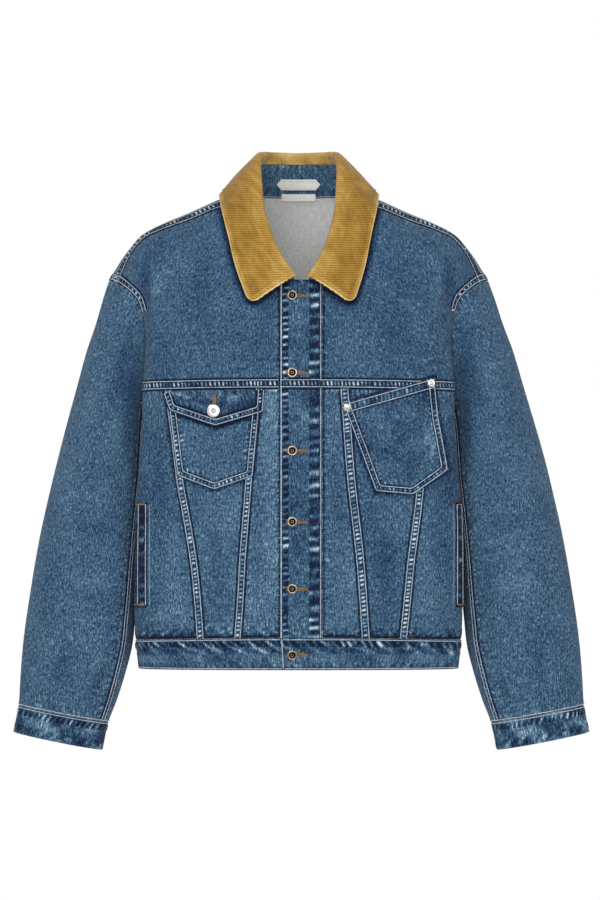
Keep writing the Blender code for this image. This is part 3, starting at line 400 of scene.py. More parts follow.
def shoulder_seam_turn(share):
    """The shoulder seam lies in front of the shoulder's top. share: 0 neck, 1 armhole."""
    shares = [row.share for row in SHOULDER_SEAM] + [1]
    return through(shares, [row.turn for row in SHOULDER_SEAM] + [SHOULDER_END], share)


def spread_to_armhole(angles, turn):
    """Angles of a row's columns, drawn out or in so that the last one meets the armhole."""
    share = np.linspace(0, 1, len(angles)) ** 2
    return angles * (1 + (armhole_angle(turn) / angles[-1] - 1) * share)


def draw_to_armhole(points, target, columns):
    """The last columns of a row bend so that the row ends on the armhole."""
    weight = smooth_step((np.arange(len(points)) - (len(points) - 1 - columns)) / columns)
    return points + weight[:, None] * (target - points[-1])


# ---------------------------------------------------------------- grids
def spaced(stops, counts):
    """Values through the stops, with counts[i] even steps between stop i and i + 1."""
    values = [stops[0]]
    for start, end, count in zip(stops, stops[1:], counts):
        values += [start + (end - start) * (i + 1) / count for i in range(count)]
    return np.array(values)


HALF_COUNTS = (CENTRE_COLUMNS, MIDDLE_COLUMNS, SIDE_COLUMNS)
SHOULDER_COLUMNS = sum(HALF_COUNTS) - NECK_COLUMNS
BACK_COLUMNS = BACK_NECK_COLUMNS + SHOULDER_COLUMNS
LEFT_EDGE = sum(HALF_COUNTS)  # the front column at the over placket's free edge
RIGHT_EDGE = LEFT_EDGE + PLACKET_COLUMNS  # and at its stitched edge
UNDERARM_ROW = LOWER_HEIGHTS.index(UNDERARM)
YOKE_ROW = LOWER_HEIGHTS.index(YOKE_SEAM)
UNDER_SLEEVE_FROM = -8  # loop columns from the underarm to the sleeve's back seam
UNDER_SLEEVE_COLUMNS = 10

# The lower front's pieces from the wearer's right to left; the placket's strip between them.
FRONT_PANELS = (
    "side_right", "middle_right", "centre_right", None, "centre_left", "middle_left", "side_left"
)


def front_seams(side, height):
    """Where the seams of one lower front lie, from the placket outward."""
    name = "left" if side > 0 else "right"
    placket = PLACKET_TO if side > 0 else PLACKET_FROM
    inner = read(SLANTS, "height", "inner_" + name, height)
    outer = read(SLANTS, "height", "outer_" + name, height)
    return placket, float(inner), float(outer)


def front_lower_row(side, height):
    """One half row of the lower front, from the placket's edge to the side seam or armhole."""
    seams = front_seams(side, height)
    angles = [abs(lower_angle(-1, x, height)) for x in seams]
    last = 90.0 if height <= UNDERARM else armhole_low(-1, height)[1]
    row_angles = spaced(angles + [last], HALF_COUNTS)
    return lower(-1, side * row_angles, height), row_angles


def top_edge(side):
    """The neckline and then the shoulder seam, as angles and turns of the front's columns."""
    shares = np.linspace(0, 1, NECK_COLUMNS + 1)
    places = [row.across for row in NECKLINE]
    levels = [row.height for row in NECKLINE]
    runs = np.concatenate([[0], np.cumsum(np.hypot(np.diff(places), np.diff(levels)))])
    across = through(runs, places, shares * runs[-1])
    heights = through(runs, levels, shares * runs[-1])
    if side < 0:
        across[0] = -PLACKET_FROM
    turns = [turn_of(x, z) for x, z in zip(across, heights)]
    angles = [upper_angle(x, turn) for x, turn in zip(across, turns)]
    seam_shares = np.linspace(0, 1, SHOULDER_COLUMNS + 1)[1:]
    seam_turns = shoulder_seam_turn(seam_shares)
    ends = np.linspace(NECK_HALF_WIDTH, ARMHOLE[1].across, SHOULDER_COLUMNS + 1)[1:]
    for x, turn in zip(ends[:-1], seam_turns[:-1]):
        turns.append(float(turn))
        angles.append(upper_angle(x, float(turn)))
    turns.append(SHOULDER_END)
    angles.append(armhole_angle(SHOULDER_END))
    return np.array(angles), np.array(turns)


def front_upper(side):
    """The half front above the yoke seam, rows from the seam up."""
    start = front_lower_row(side, YOKE_SEAM)[1]
    ends, turns = top_edge(side)
    rows = []
    for step in np.linspace(0, 1, FRONT_TURNS + 1):
        bend = (smooth_step(step) + step) / 2
        angles = start + (ends - start) * bend
        row_turns = turns * step
        angles = spread_to_armhole(angles, row_turns[-1])
        points = upper(side * angles, row_turns)
        target = armhole_high(row_turns[-1]) * (side, 1, 1)
        rows.append(draw_to_armhole(points, target, SIDE_COLUMNS))
    return np.array(rows)


def front_half(side):
    rows = [front_lower_row(side, height)[0] for height in LOWER_HEIGHTS]
    high = front_upper(side)
    high[0] = rows[-1]
    return np.concatenate([np.array(rows), high[1:]])


def back_lower_row(height):
    last = 90.0 if height <= UNDERARM else armhole_low(1, height)[1]
    angles = spaced([0, BACK_SPREAD, last], [BACK_NECK_COLUMNS, SHOULDER_COLUMNS])
    return lower(1, angles, height), angles


def back_half():
    """The half back, rows from the hem side up and over to the shoulder seam."""
    rows = [back_lower_row(height)[0] for height in LOWER_HEIGHTS]
    start = back_lower_row(YOKE_SEAM)[1]
    front_ends, front_turns = top_edge(1)
    ends = []
    turns = []
    for share in np.arange(BACK_NECK_COLUMNS) / BACK_NECK_COLUMNS:
        round_share = min(share / BACK_NECK_SIDE, 1)
        over_share = max((share - BACK_NECK_SIDE) / (1 - BACK_NECK_SIDE), 0)
        across = (NECK_HALF_WIDTH - NECK_TUCK) * math.sin(math.pi / 2 * round_share)
        turn = BACK_NECK_TURN + (90 - BACK_NECK_TURN) * round_share**2
        turn += (front_turns[NECK_COLUMNS] - 90) * over_share
        turns.append(turn)
        ends.append(upper_angle(across, turn))
    ends += list(front_ends[NECK_COLUMNS:])
    turns += list(front_turns[NECK_COLUMNS:])
    ends = np.array(ends)
    turns = np.array(turns)
    for step in np.linspace(0, 1, BACK_TURNS + 1)[1:]:
        bend = step**BACK_BEND
        angles = start + (ends - start) * bend
        row_turns = 180 + (turns - 180) * step
        angles = spread_to_armhole(angles, row_turns[-1])
        points = upper(angles, row_turns)
        target = armhole_high(row_turns[-1])
        rows.append(draw_to_armhole(points, target, SIDE_COLUMNS))
    rows[-1][BACK_NECK_COLUMNS:] = front_upper(1)[-1, NECK_COLUMNS:]
    return np.array(rows)


def mirrored(grid):
    """The other half of a grid, with its columns in the opposite order."""
    return grid[:, ::-1] * (-1, 1, 1)


def across_placket(right, left):
    """A front's columns with the hidden strip under the placket between its two halves."""
    blend = np.linspace(0, 1, PLACKET_COLUMNS + 1)[1:-1, None]
    middle = right[:, -1:] + (left[:, :1] - right[:, -1:]) * blend
    middle[:, :, 1] -= PLACKET_BOW
    return np.concatenate([right, middle, left], 1)


def front_grid():
    """The whole front, columns from the wearer's right to left, rows from the waist up."""
    return across_placket(front_half(-1)[:, ::-1], front_half(1))


def back_grid():
    """The whole back, columns from the wearer's left to right, rows from the waist up."""
    half = back_half()
    return np.concatenate([half[:, ::-1], mirrored(half[:, ::-1])[:, 1:]], 1)


def waistband_grid():
    """The waistband, from its shown end on the placket round the back to its hidden end."""
    rows = []
    for height in WAISTBAND_HEIGHTS:
        halves = []
        for side in (-1, 1):
            angles = front_lower_row(side, WAIST_SEAM)[1]
            halves.append(lower(-1, side * angles, height))
        around = across_placket(halves[0][None, ::-1], halves[1][None])[0]
        angles = back_lower_row(WAIST_SEAM)[1]
        half = lower(1, angles, height)
        behind = np.concatenate([half[::-1], half[1:] * (-1, 1, 1)])
        shown = around[LEFT_EDGE:]
        lifted = 1 - smooth_step((np.arange(len(shown)) - PLACKET_COLUMNS) / LIFT_COLUMNS)
        shown = shown - np.stack([0 * lifted, OVERLAP * lifted, 0 * lifted], -1)
        rows.append(np.concatenate([shown, behind[1:-1], around[:RIGHT_EDGE + 1]]))
    return np.array(rows)


# ---------------------------------------------------------------- the sleeves
def armhole_loop(front, back):
    """The armhole on the wearer's left: up its front from the underarm, down its back."""
    up_front = front[UNDERARM_ROW:, -1]
    down_back = back[UNDERARM_ROW + 1:-1, 0][::-1]
    return np.concatenate([up_front, down_back])


def loop_angles(loop):
    """Each loop point's angle round the sleeve: 180 at the underarm, 0 at the shoulder."""
    top = int(np.argmax(loop[:, 2]))
    runs = runs_along(np.concatenate([loop, loop[:1]]))
    front = 180 - 180 * runs[:top + 1] / runs[top]
    back = -180 * (runs[top + 1:-1] - runs[top]) / (runs[-1] - runs[top])
    return np.concatenate([front, back])


def sleeve_ring(ring, angles, swing):
    outer = np.array([ring.outer_x + swing, 0, ring.outer_z])
    inner = np.array([ring.inner_x + swing * INNER_SWING, 0, ring.inner_z])
    middle = (outer + inner) / 2
    half = (outer - inner) / 2
    middle[1] -= ring.forward
    turned = np.radians(angles)[:, None]
    deep = np.array([0, -ring.half_depth, 0])
    return middle + half * np.cos(turned) + deep * np.sin(turned)


def sleeve_grid(loop, swing):
    """The wearer's left sleeve, rows from the cuff's end up to the armhole."""
    angles = loop_angles(loop)
    kept = loop - sleeve_ring(SLEEVE[0], angles, 0)
    rows = []
    for i, ring in enumerate(SLEEVE):
        share = min(swing, swing * i / SWING_RINGS)
        points = sleeve_ring(ring, angles, share)
        fade = 1 - smooth_step(i / LOOP_FADE_RINGS)
        rows.append(points + kept * fade)
    rows[0] = loop
    return np.array(rows[::-1])


# ---------------------------------------------------------------- the collar
def neck_loop(front, back):
    """The neckline from the wearer's left front end round the back to the right one."""
    left = front[-1, LEFT_EDGE + PLACKET_COLUMNS - 1:RIGHT_EDGE + NECK_COLUMNS + 1]
    centre = BACK_COLUMNS
    behind = back[-1, centre - BACK_NECK_COLUMNS + 1:centre + BACK_NECK_COLUMNS]
    right = front[-1, LEFT_EDGE - NECK_COLUMNS:LEFT_EDGE + 2]
    return np.concatenate([left, behind, right])


def signed_runs(neck):
    """How far along the collar each neckline point is: -1 and 1 at the ends, 0 behind."""
    runs = runs_along(neck)
    middle = len(neck) // 2
    left = 1 - runs[:middle + 1] / runs[middle]
    right = (runs[middle + 1:] - runs[middle]) / (runs[-1] - runs[middle])
    return np.concatenate([left, -right])


def unit(vector):
    return vector / np.linalg.norm(vector)


def collar_lines(neck):
    """The collar's roll and outer edge over each neckline point."""
    rolls = []
    edges = []
    for run in signed_runs(neck):
        along = abs(run)
        side = 1 if run >= 0 else -1
        shift = COLLAR_SHIFT * along**SHIFT_POWER
        at = {name: float(read(COLLAR, "along", name, along)) for name in COLLAR[0]._fields}
        rolls.append((side * at["roll_x"] + shift, at["roll_y"], at["roll_z"]))
        angle = upper_angle(at["edge_x"], at["edge_turn"])
        ring = upper(angle + PROBE, at["edge_turn"])
        rise = upper(np.full(2, angle), at["edge_turn"] + PROBE)
        outward = unit(np.cross(ring[1] - ring[0], rise[1] - rise[0]))
        point = upper(np.array([angle]), at["edge_turn"])[0]
        point = point + outward * LEAF_CLEARANCE
        edges.append((side * point[0] + shift, point[1], point[2]))
    return np.array(rolls), np.array(edges)


def collar_grid(neck):
    """The collar's hidden side: up from the neckline, over the roll and down the leaf."""
    rolls, edges = collar_lines(neck)
    columns = []
    for i, (base, roll, edge) in enumerate(zip(neck, rolls, edges)):
        ahead = unit(rolls[min(i + 1, len(rolls) - 1)] - rolls[max(i - 1, 0)])
        rise = roll - base
        fall = edge - roll
        rise_way = unit(rise - ahead * rise.dot(ahead))
        fall_way = unit(fall - ahead * fall.dot(ahead))
        crest = unit(rise_way - fall_way)
        outward = unit(np.cross(ahead, crest))
        inner = roll - outward * ROLL_RADIUS
        outer = roll + outward * ROLL_RADIUS
        column = [base + (inner - base) * share for share in STAND_SHARES]
        column += [base + (inner - base) * share for share in INNER_SHARES]
        for degrees in ROLL_DEGREES:
            swing = math.radians(degrees)
            bend = math.sin(swing) * crest - math.cos(swing) * outward
            column.append(roll + ROLL_RADIUS * bend)
        for share in LEAF_SHARES:
            puff = LEAF_PUFF * math.sin(math.pi * share) ** PUFF_SHAPE
            column.append(outer + (edge - outer) * share + outward * puff)
        columns.append(column)
    return np.array(columns).transpose(1, 0, 2)


# ---------------------------------------------------------------- walls
def cell_normals(grid):
    """Each cell's normal, twice as long as the cell's area."""
    across = grid[1:, 1:] - grid[:-1, :-1]
    slant = grid[1:, :-1] - grid[:-1, 1:]
    return np.cross(across, slant)


def point_key(point):
    return tuple(np.round(point, 2))


def common_normals(grids):
    """Normals of all grids, shared where their points meet."""
    sums = {}
    for grid in grids:
        cells = cell_normals(grid)
        for row in range(cells.shape[0]):
            for column in range(cells.shape[1]):
                for across, up in ((0, 0), (1, 0), (0, 1), (1, 1)):
                    key = point_key(grid[row + up, column + across])
                    sums[key] = sums.get(key, 0) + cells[row, column]
    found = []
    for grid in grids:
        normals = np.array([[unit(sums[point_key(point)]) for point in row] for row in grid])
        found.append(normals)
    return found


def drawn_in(grid, gaps):
    """The grid with its border moved in along the cloth; gaps: below, above, left, right."""
    result = grid.copy()
    for axis in (0, 1):
        facing = np.moveaxis(result, axis, 0)
        for edge, neighbour, gap in ((0, 1, gaps[2 * axis]), (-1, -2, gaps[2 * axis + 1])):
            way = facing[neighbour] - facing[edge]
            seam = unit_rows(np.gradient(facing[edge], axis=0))
            way = way - seam * (way * seam).sum(-1, keepdims=True)
            facing[edge] += unit_rows(way) * (gap / 2 + SEAM_MARGIN)
    return result


# ================================================================ the looks
FINE_ROWS = 8  # steps that each row of the construction is split into
FINE_COLUMNS_BODY = 4
SLEEVE_FINE_ROWS = 10
SLEEVE_FINE_COLUMNS = 4
BAND_FINE_ROWS = 12
BAND_FINE_COLUMNS = 9
NO_GAPS = (0, 0, 0, 0)
EDGE_LINE = 0.9  # how far inside its edge a wall starts to round off
MOST_EDGE = 0.45  # the most of a grid cell that this may be
EDGE_DROP = 0.45  # share of the thickness that the edge is rounded by
LINE_KNOTS = 4096
PLANE_KNOTS = 256


def noise_line(at, period, seed):
    """Smooth noise along a line, from -1 to 1, one knot each period."""
    at = np.asarray(at, float) / period
    knots = np.random.default_rng(seed).uniform(-1, 1, LINE_KNOTS)
    first = np.floor(at).astype(int)
    t = smooth_step(at - first)
    return knots[first % LINE_KNOTS] * (1 - t) + knots[(first + 1) % LINE_KNOTS] * t


def noise_plane(x, y, period, seed):
    """Smooth noise over a plane, from -1 to 1."""
    x = np.asarray(x, float) / period
    y = np.asarray(y, float) / period
    knots = np.random.default_rng(seed).uniform(-1, 1, (PLANE_KNOTS, PLANE_KNOTS))
    i = np.floor(x).astype(int)
    j = np.floor(y).astype(int)
    u = smooth_step(x - i)
    v = smooth_step(y - j)
    i, j, after_i, after_j = (k % PLANE_KNOTS for k in (i, j, i + 1, j + 1))
    low = knots[i, j] * (1 - u) + knots[after_i, j] * u
    high = knots[i, after_j] * (1 - u) + knots[after_i, after_j] * u
    return low * (1 - v) + high * v


def spline_rows(points, steps, closed=False):
    """A smooth curve through the rows, each step between two rows split evenly."""
    if closed:
        padded = np.concatenate([points[-2:-1], points, points[1:2]])
    else:
        before = 2 * points[:1] - points[1:2]
        after = 2 * points[-1:] - points[-2:-1]
        padded = np.concatenate([before, points, after])
    a, b, c, d = padded[:-3], padded[1:-2], padded[2:-1], padded[3:]
    result = []
    for step in range(steps):
        t = step / steps
        first = 2 * b + (c - a) * t
        bend = (2 * a - 5 * b + 4 * c - d) * t**2 + (3 * b - a - 3 * c + d) * t**3
        result.append((first + bend) / 2)
    woven = np.stack(result, 1).reshape(-1, *points.shape[1:])
    return np.concatenate([woven, points[-1:]])


def refined(grid, row_steps, column_steps, closed=False):
    rows = spline_rows(grid, row_steps)
    return np.moveaxis(spline_rows(np.moveaxis(rows, 1, 0), column_steps, closed), 0, 1)


# A sheet is a grid whose last axis holds its point, its normal, its grain (across, along) and
# its marks: wear and painted shade together, from dark to worn pale, scuff and rub, how near a
# level or an upright seam it lies, and wale, the place across the wales of corduroy.
POINT = slice(0, 3)
NORMAL = slice(3, 6)
GRAIN = slice(6, 8)
ACROSS = 6
ALONG = 7
WEAR_AND_SHADE = 8
SCUFF = 9
RUB = 10
WALE = 11
MARKS = {"wear_and_shade": WEAR_AND_SHADE, "scuff": SCUFF, "rub": RUB, "wale": WALE}
SCUFF_REACH = 11.0
RUB_REACH = 8.0


def sheet_of(points, normals, middle=0):
    across = runs_along(points, 1)
    across = across - across[:, middle:middle + 1]
    along = runs_along(points, 0)
    marks = np.zeros((*points.shape[:2], len(MARKS)))
    return np.concatenate([points, normals, across[..., None], along[..., None], marks], -1)


def edge_lines(sheet):
    """The sheet with one more line just inside each edge, where the wall starts to round."""
    for axis in (0, 1):
        facing = np.moveaxis(sheet, axis, 0)
        lines = []
        for edge, neighbour in ((0, 1), (-1, -2)):
            step = facing[neighbour] - facing[edge]
            length = np.linalg.norm(step[:, POINT], axis=-1, keepdims=True)
            lines.append(facing[edge] + step * np.minimum(EDGE_LINE / length, MOST_EDGE))
        facing = np.concatenate([facing[:1], lines[:1], facing[1:-1], lines[1:], facing[-1:]])
        sheet = np.moveaxis(facing, 0, axis)
    return sheet


def grid_faces(rows, columns, first=0, turned_over=False):
    index = np.arange(rows * columns).reshape(rows, columns) + first
    corners = [index[:-1, :-1], index[:-1, 1:], index[1:, 1:], index[1:, :-1]]
    faces = np.stack(corners, -1).reshape(-1, 4)
    return faces[:, ::-1] if turned_over else faces


def rim_of(rows, columns):
    """The border's point numbers, once round."""
    index = np.arange(rows * columns).reshape(rows, columns)
    return np.concatenate([index[0, :-1], index[:-1, -1], index[-1, :0:-1], index[:0:-1, 0]])


def make_piece(name, points, faces, materials, grain=None, marks=None, slots=None):
    """A smooth mesh; grain: a place on the cloth for each point; marks: named values."""
    mesh = bpy.data.meshes.new(name)
    mesh.from_pydata((np.asarray(points) * METRE).tolist(), [], [list(map(int, f)) for f in faces])
    mesh.shade_smooth()
    for material in materials:
        mesh.materials.append(material)
    if slots is not None:
        mesh.polygons.foreach_set("material_index", np.asarray(slots, dtype=np.int32))
    if grain is not None:
        corners = np.empty(len(mesh.loops), dtype=np.int32)
        mesh.loops.foreach_get("vertex_index", corners)
        layer = mesh.uv_layers.new(name="grain")
        layer.data.foreach_set("uv", np.asarray(grain, np.float32)[corners].ravel())
    for title, values in (marks or {}).items():
        attribute = mesh.attributes.new(title, "FLOAT", "POINT")
        attribute.data.foreach_set("value", np.asarray(values, np.float32))
    mesh.update()
    piece = bpy.data.objects.new(name, mesh)
    bpy.context.scene.collection.objects.link(piece)
    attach(piece, "root")
    return piece


def edge_distances(sheet):
    """How far each point of a sheet is from its first and last row and column."""
    across = runs_along(sheet[..., POINT], 1)
    along = runs_along(sheet[..., POINT], 0)
    return along, along[-1:] - along, across, across[:, -1:] - across


def shell(name, sheet, thickness, materials, gaps):
    """A closed wall of cloth with rounded edges. materials: outer side, inner side."""
    sheet = sheet.copy()
    low, high, first, last = edge_distances(sheet)
    sheet[..., SCUFF] = np.exp(-np.minimum(low, high) / SCUFF_REACH)
    sheet[..., RUB] = np.exp(-np.minimum(first, last) / RUB_REACH)
    sheet[..., POINT] = drawn_in(sheet[..., POINT], gaps)
    sheet = edge_lines(sheet)
    rows, columns = sheet.shape[:2]
    normals = unit_rows(sheet[..., NORMAL])
    outer = sheet[..., POINT].copy()
    inner = outer - normals * thickness
    rim = np.zeros((rows, columns), bool)
    rim[[0, -1]] = True
    rim[:, [0, -1]] = True
    outer[rim] -= normals[rim] * thickness * EDGE_DROP
    inner[rim] += normals[rim] * thickness * EDGE_DROP / 2
    count = rows * columns
    border = rim_of(rows, columns)
    after = np.roll(border, -1)
    wall_faces = np.stack([after, border, border + count, after + count], -1)
    front_faces = grid_faces(rows, columns)
    back_faces = grid_faces(rows, columns, count, True)
    faces = np.concatenate([front_faces, wall_faces, back_faces])
    slots = np.zeros(len(faces), int)
    slots[len(front_faces) + len(wall_faces):] = 1
    flat = sheet.reshape(count, -1)
    marks = {title: np.tile(flat[:, place], 2) for title, place in MARKS.items()}
    piece = make_piece(
        name + "_cloth",
        np.concatenate([outer.reshape(-1, 3), inner.reshape(-1, 3)]),
        faces,
        materials,
        np.tile(flat[:, GRAIN], (2, 1)),
        marks,
        slots,
    )
    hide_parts(name)
    return piece


SHORTEST_CUT = 0.0101
LEAST_AREA = 0.301  # share of a cut's width times its length


def declare(sheet):
    """Works out, without keeping it, the flat cut of one wall, as wide and long as its longest row and
    column.
    """
    points = sheet[..., POINT]
    width = float(runs_along(points, 1)[:, -1].max()) * METRE
    length = max(float(runs_along(points, 0)[-1].max()) * METRE, SHORTEST_CUT)
    area = float(np.linalg.norm(cell_normals(points), axis=-1).sum() / 2) * METRE**2
    area = min(max(area, LEAST_AREA * width * length), width * length)


def wall(name, sheet, thickness, materials, gaps):
    """A wall of cloth, with its flat cut worked out."""
    shell(name, sheet, thickness, materials, gaps)
    declare(sheet)


# ---------------------------------------------------------------- finishes
class Finish:
    """A material's nodes; every method adds one node and returns its output."""

    def __init__(self, name):
        self.material = bpy.data.materials.new(name)
        self.material.use_nodes = True
        self.nodes = self.material.node_tree.nodes
        self.links = self.material.node_tree.links
        self.shader = self.nodes["Principled BSDF"]

    def feed(self, node, inputs):
        for key, value in inputs.items():
            socket = node.inputs[key]
            if isinstance(value, bpy.types.NodeSocket):
                self.links.new(value, socket)
            else:
                socket.default_value = value
        return node

    def grain(self, across=1.0, along=1.0, shift=(0.0, 0.0, 0.0)):
        """The place on the cloth, in millimetres, divided by the two given sizes."""
        place = self.nodes.new("ShaderNodeUVMap")
        place.uv_map = "grain"
        scaled = self.nodes.new("ShaderNodeVectorMath")
        scaled.operation = "MULTIPLY_ADD"
        self.feed(scaled, {0: place.outputs[0], 1: (1 / across, 1 / along, 1), 2: shift})
        return scaled.outputs[0]

    def mark(self, title):
        node = self.nodes.new("ShaderNodeAttribute")
        node.attribute_name = title
        return node.outputs["Fac"]

    def noise(self, vector, detail=2.0, roughness=0.5, scale=1.0):
        node = self.nodes.new("ShaderNodeTexNoise")
        self.feed(node, {"Vector": vector, "Detail": detail, "Roughness": roughness, "Scale": scale})
        return node.outputs["Fac"]

    def math(self, operation, *values):
        node = self.nodes.new("ShaderNodeMath")
        node.operation = operation
        return self.feed(node, dict(enumerate(values))).outputs[0]

    def product(self, value, by):
        return self.math("MULTIPLY", value, by)

    def swing(self, value, strength):
        """A noise value turned into a change either way, at most strength."""
        return self.product(self.math("SUBTRACT", value, 0.5), strength)

    def total(self, *values):
        result = values[0]
        for value in values[1:]:
            result = self.math("ADD", result, value)
        return result

    def ramp(self, value, stops):
        node = self.nodes.new("ShaderNodeValToRGB")
        elements = node.color_ramp.elements
        while len(elements) < len(stops):
            elements.new(0.5)
        for element, (place, colour) in zip(elements, stops):
            element.position = place
            element.color = (*[to_linear(part) for part in colour], 1)
        return self.feed(node, {"Fac": value}).outputs["Color"]

    def bump(self, height, depth, strength=1.0):
        node = self.nodes.new("ShaderNodeBump")
        self.feed(node, {"Height": height, "Distance": depth * METRE, "Strength": strength})
        return node.outputs["Normal"]

    def done(self, **inputs):
        self.feed(self.shader, {key.replace("_", " "): value for key, value in inputs.items()})
        return self.material


def to_linear(part):
    part /= 255
    return part / 12.92 if part <= 0.04045 else ((part + 0.055) / 1.055) ** 2.4


DENIM_STOPS = (
    (0.0, (15, 25, 48)),
    (0.25, (36, 60, 90)),
    (0.5, (68, 101, 128)),
    (0.75, (118, 149, 168)),
    (1.0, (202, 215, 220)),
)
WRONG_SIDE_STOPS = ((0.0, (192, 195, 196)), (0.5, (242, 243, 240)), (1.0, (254, 254, 252)))
CORDUROY_STOPS = (
    (0.0, (100, 73, 24)),
    (0.35, (149, 112, 45)),
    (0.6, (180, 141, 66)),
    (1.0, (226, 198, 136)),
)


def denim_finish(name, stops, contrast=1.0):
    """Washed twill: speckled along its warp, clouded, and paler in streaks beside its seams."""
    f = Finish(name)
    speckle = f.noise(f.grain(2.0, 4.2), 3.0, 0.75)
    slub = f.noise(f.grain(1.5, 11.0, (9.0, 0.0, 0.0)), 2.0, 0.6)
    cross = f.noise(f.grain(7.0, 1.9, (0.0, 40.0, 0.0)), 2.0, 0.6)
    mottle = f.noise(f.grain(9.0, 14.0, (3.0, 7.0, 0.0)), 3.0, 0.6)
    cloudy = f.noise(f.grain(45, 70, (5.0, 1.0, 0.0)), 2.0, 0.5)
    streak = f.noise(f.grain(4.2, 17.0, (1.0, 2.0, 0.0)), 3.0, 0.65)
    flick = f.noise(f.grain(15.0, 4.6, (2.0, 5.0, 0.0)), 3.0, 0.65)
    near_level = f.product(f.math("ADD", f.swing(streak, 1.7), 0.03), f.mark("scuff"))
    near_upright = f.product(f.math("ADD", f.swing(flick, 1.6), 0.02), f.mark("rub"))
    change = f.total(
        f.swing(speckle, 1.62),
        f.swing(slub, 0.82),
        f.swing(cross, 0.35),
        f.swing(mottle, 0.2),
        f.swing(cloudy, 0.24),
        near_level,
        near_upright,
    )
    # The sheets' mark adds the cloth's wear and also painted shade beside raised edges, grooves and seams.
    worn = f.total(f.product(change, contrast), f.mark("wear_and_shade"), 0.425)
    twill = f.nodes.new("ShaderNodeTexWave")
    twill.wave_type = "BANDS"
    twill.bands_direction = "DIAGONAL"
    f.feed(twill, {"Vector": f.grain(2.0, 2.0), "Scale": 1.0, "Distortion": 0.6, "Detail": 1.0})
    pucker = f.math("ADD", f.product(near_level, 0.5), f.product(near_upright, 0.4))
    height = f.total(
        f.product(twill.outputs["Fac"], 0.06),
        f.swing(slub, 0.12),
        f.swing(speckle, 0.16),
        f.swing(mottle, 0.5),
        pucker,
    )
    return f.done(
        Base_Color=f.ramp(worn, stops),
        Normal=f.bump(height, 1.0, 0.9),
        Roughness=0.92,
        Specular_IOR_Level=0.12,
        Sheen_Weight=0.08,
        Sheen_Roughness=0.5,
    )


def corduroy_finish(name):
    """Wales follow the mark wale, in millimetres across them."""
    f = Finish(name)
    turn = f.product(f.mark("wale"), math.tau / WALE_PITCH)
    ridge = f.math("MULTIPLY_ADD", f.math("COSINE", turn), 0.5, 0.5)
    pile = f.noise(f.grain(2.2, 2.2), 3.0, 0.7)
    cloudy = f.noise(f.grain(18, 18, (2.0, 5.0, 0.0)), 3.0, 0.6)
    # Paler tops and darker valleys of the wales, from ridge, are painted light and shade.
    worn = f.total(
        0.31,
        f.mark("wear_and_shade"),
        f.product(ridge, 0.24),
        f.swing(pile, 0.5),
        f.swing(cloudy, 0.7),
    )
    return f.done(
        Base_Color=f.ramp(worn, CORDUROY_STOPS),
        Normal=f.bump(f.total(f.product(ridge, 0.25), f.swing(pile, 0.35)), 0.5, 0.8),
        Roughness=0.9,
        Specular_IOR_Level=0.1,
        Sheen_Weight=0.25,
        Sheen_Roughness=0.4,
    )


def plain_finish(name, dark, light, roughness, metallic=0.0, size=1.5, depth=0.05, **more):
    f = Finish(name)
    place = f.nodes.new("ShaderNodeTexCoord").outputs["Object"]
    grain = f.noise(place, 3.0, 0.65, 1 / (size * METRE))
    worn = f.noise(place, 3.0, 0.6, 1 / (6 * size * METRE))
    mixed = f.total(f.product(grain, 0.5), f.product(worn, 0.5))
    return f.done(
        Base_Color=f.ramp(mixed, ((0.35, dark), (0.65, light))),
        Normal=f.bump(grain, depth, 0.6),
        Roughness=roughness,
        Metallic=metallic,
        **more,
    )


WALE_PITCH = 3.05
DENIM_FINISH = denim_finish("denim_washed", DENIM_STOPS)
WRONG_SIDE = denim_finish("denim_wrong_side", WRONG_SIDE_STOPS, 0.7)
CORDUROY_FINISH = corduroy_finish("corduroy_brown")
THREAD_PALE = plain_finish("thread_pale", (124, 144, 166), (224, 233, 239), 0.8)
THREAD_TAN = plain_finish("thread_tan", (150, 104, 48), (192, 146, 88), 0.8)
METAL_AGED = plain_finish("metal_aged", (92, 82, 68), (198, 188, 170), 0.34, 1.0, 0.8)
METAL_DARK = plain_finish("metal_dark", (10, 9, 9), (34, 28, 24), 0.5, 1.0, 0.8)
METAL_BRIGHT = plain_finish("metal_bright", (196, 200, 204), (240, 240, 238), 0.22, 1.0, 0.8)
# A painted shadow for the buttonhole slits.
SLIT_SHADOW_FINISH = plain_finish("slit_painted_shadow", (16, 20, 30), (30, 36, 50), 0.9)
LABEL_WOVEN = plain_finish("label_woven", (238, 237, 228), (253, 252, 247), 0.85)
CLOTH = (DENIM_FINISH, WRONG_SIDE)


# ---------------------------------------------------------------- what is sewn on the cloth
EDGE_DEPTH = 112.0  # how far forward a place just off a patch's edge is looked for


class Draped:
    """Sheets that seams, stitches and patches are laid on."""

    def __init__(self, *sheets):
        points = []
        faces = []
        for sheet in sheets:
            rows, columns = sheet.shape[:2]
            faces += grid_faces(rows, columns, len(points)).tolist()
            points += sheet[..., POINT].reshape(-1, 3).tolist()
        self.tree = BVHTree.FromPolygons(points, faces)

    def near(self, points):
        """The nearest places on the sheets, and their normals."""
        hits = [self.tree.find_nearest(Vector(point)) for point in np.reshape(points, (-1, 3))]
        return places_and_normals(hits, np.shape(points))

    def from_front(self, flat, start=-FAR):
        """The places that a flat grid (across, height) meets from the front, and normals."""
        hits = []
        for across, height in np.reshape(flat, (-1, 2)):
            hit = self.tree.ray_cast(Vector((across, start, height)), Vector((0, 1, 0)))
            if hit[0] is None:
                hit = self.tree.find_nearest(Vector((across, -EDGE_DEPTH, height)))
            hits.append(hit)
        return places_and_normals(hits, (*np.shape(flat)[:-1], 3))


def places_and_normals(hits, shape):
    return [np.array([hit[part] for hit in hits]).reshape(shape) for part in (0, 1)]


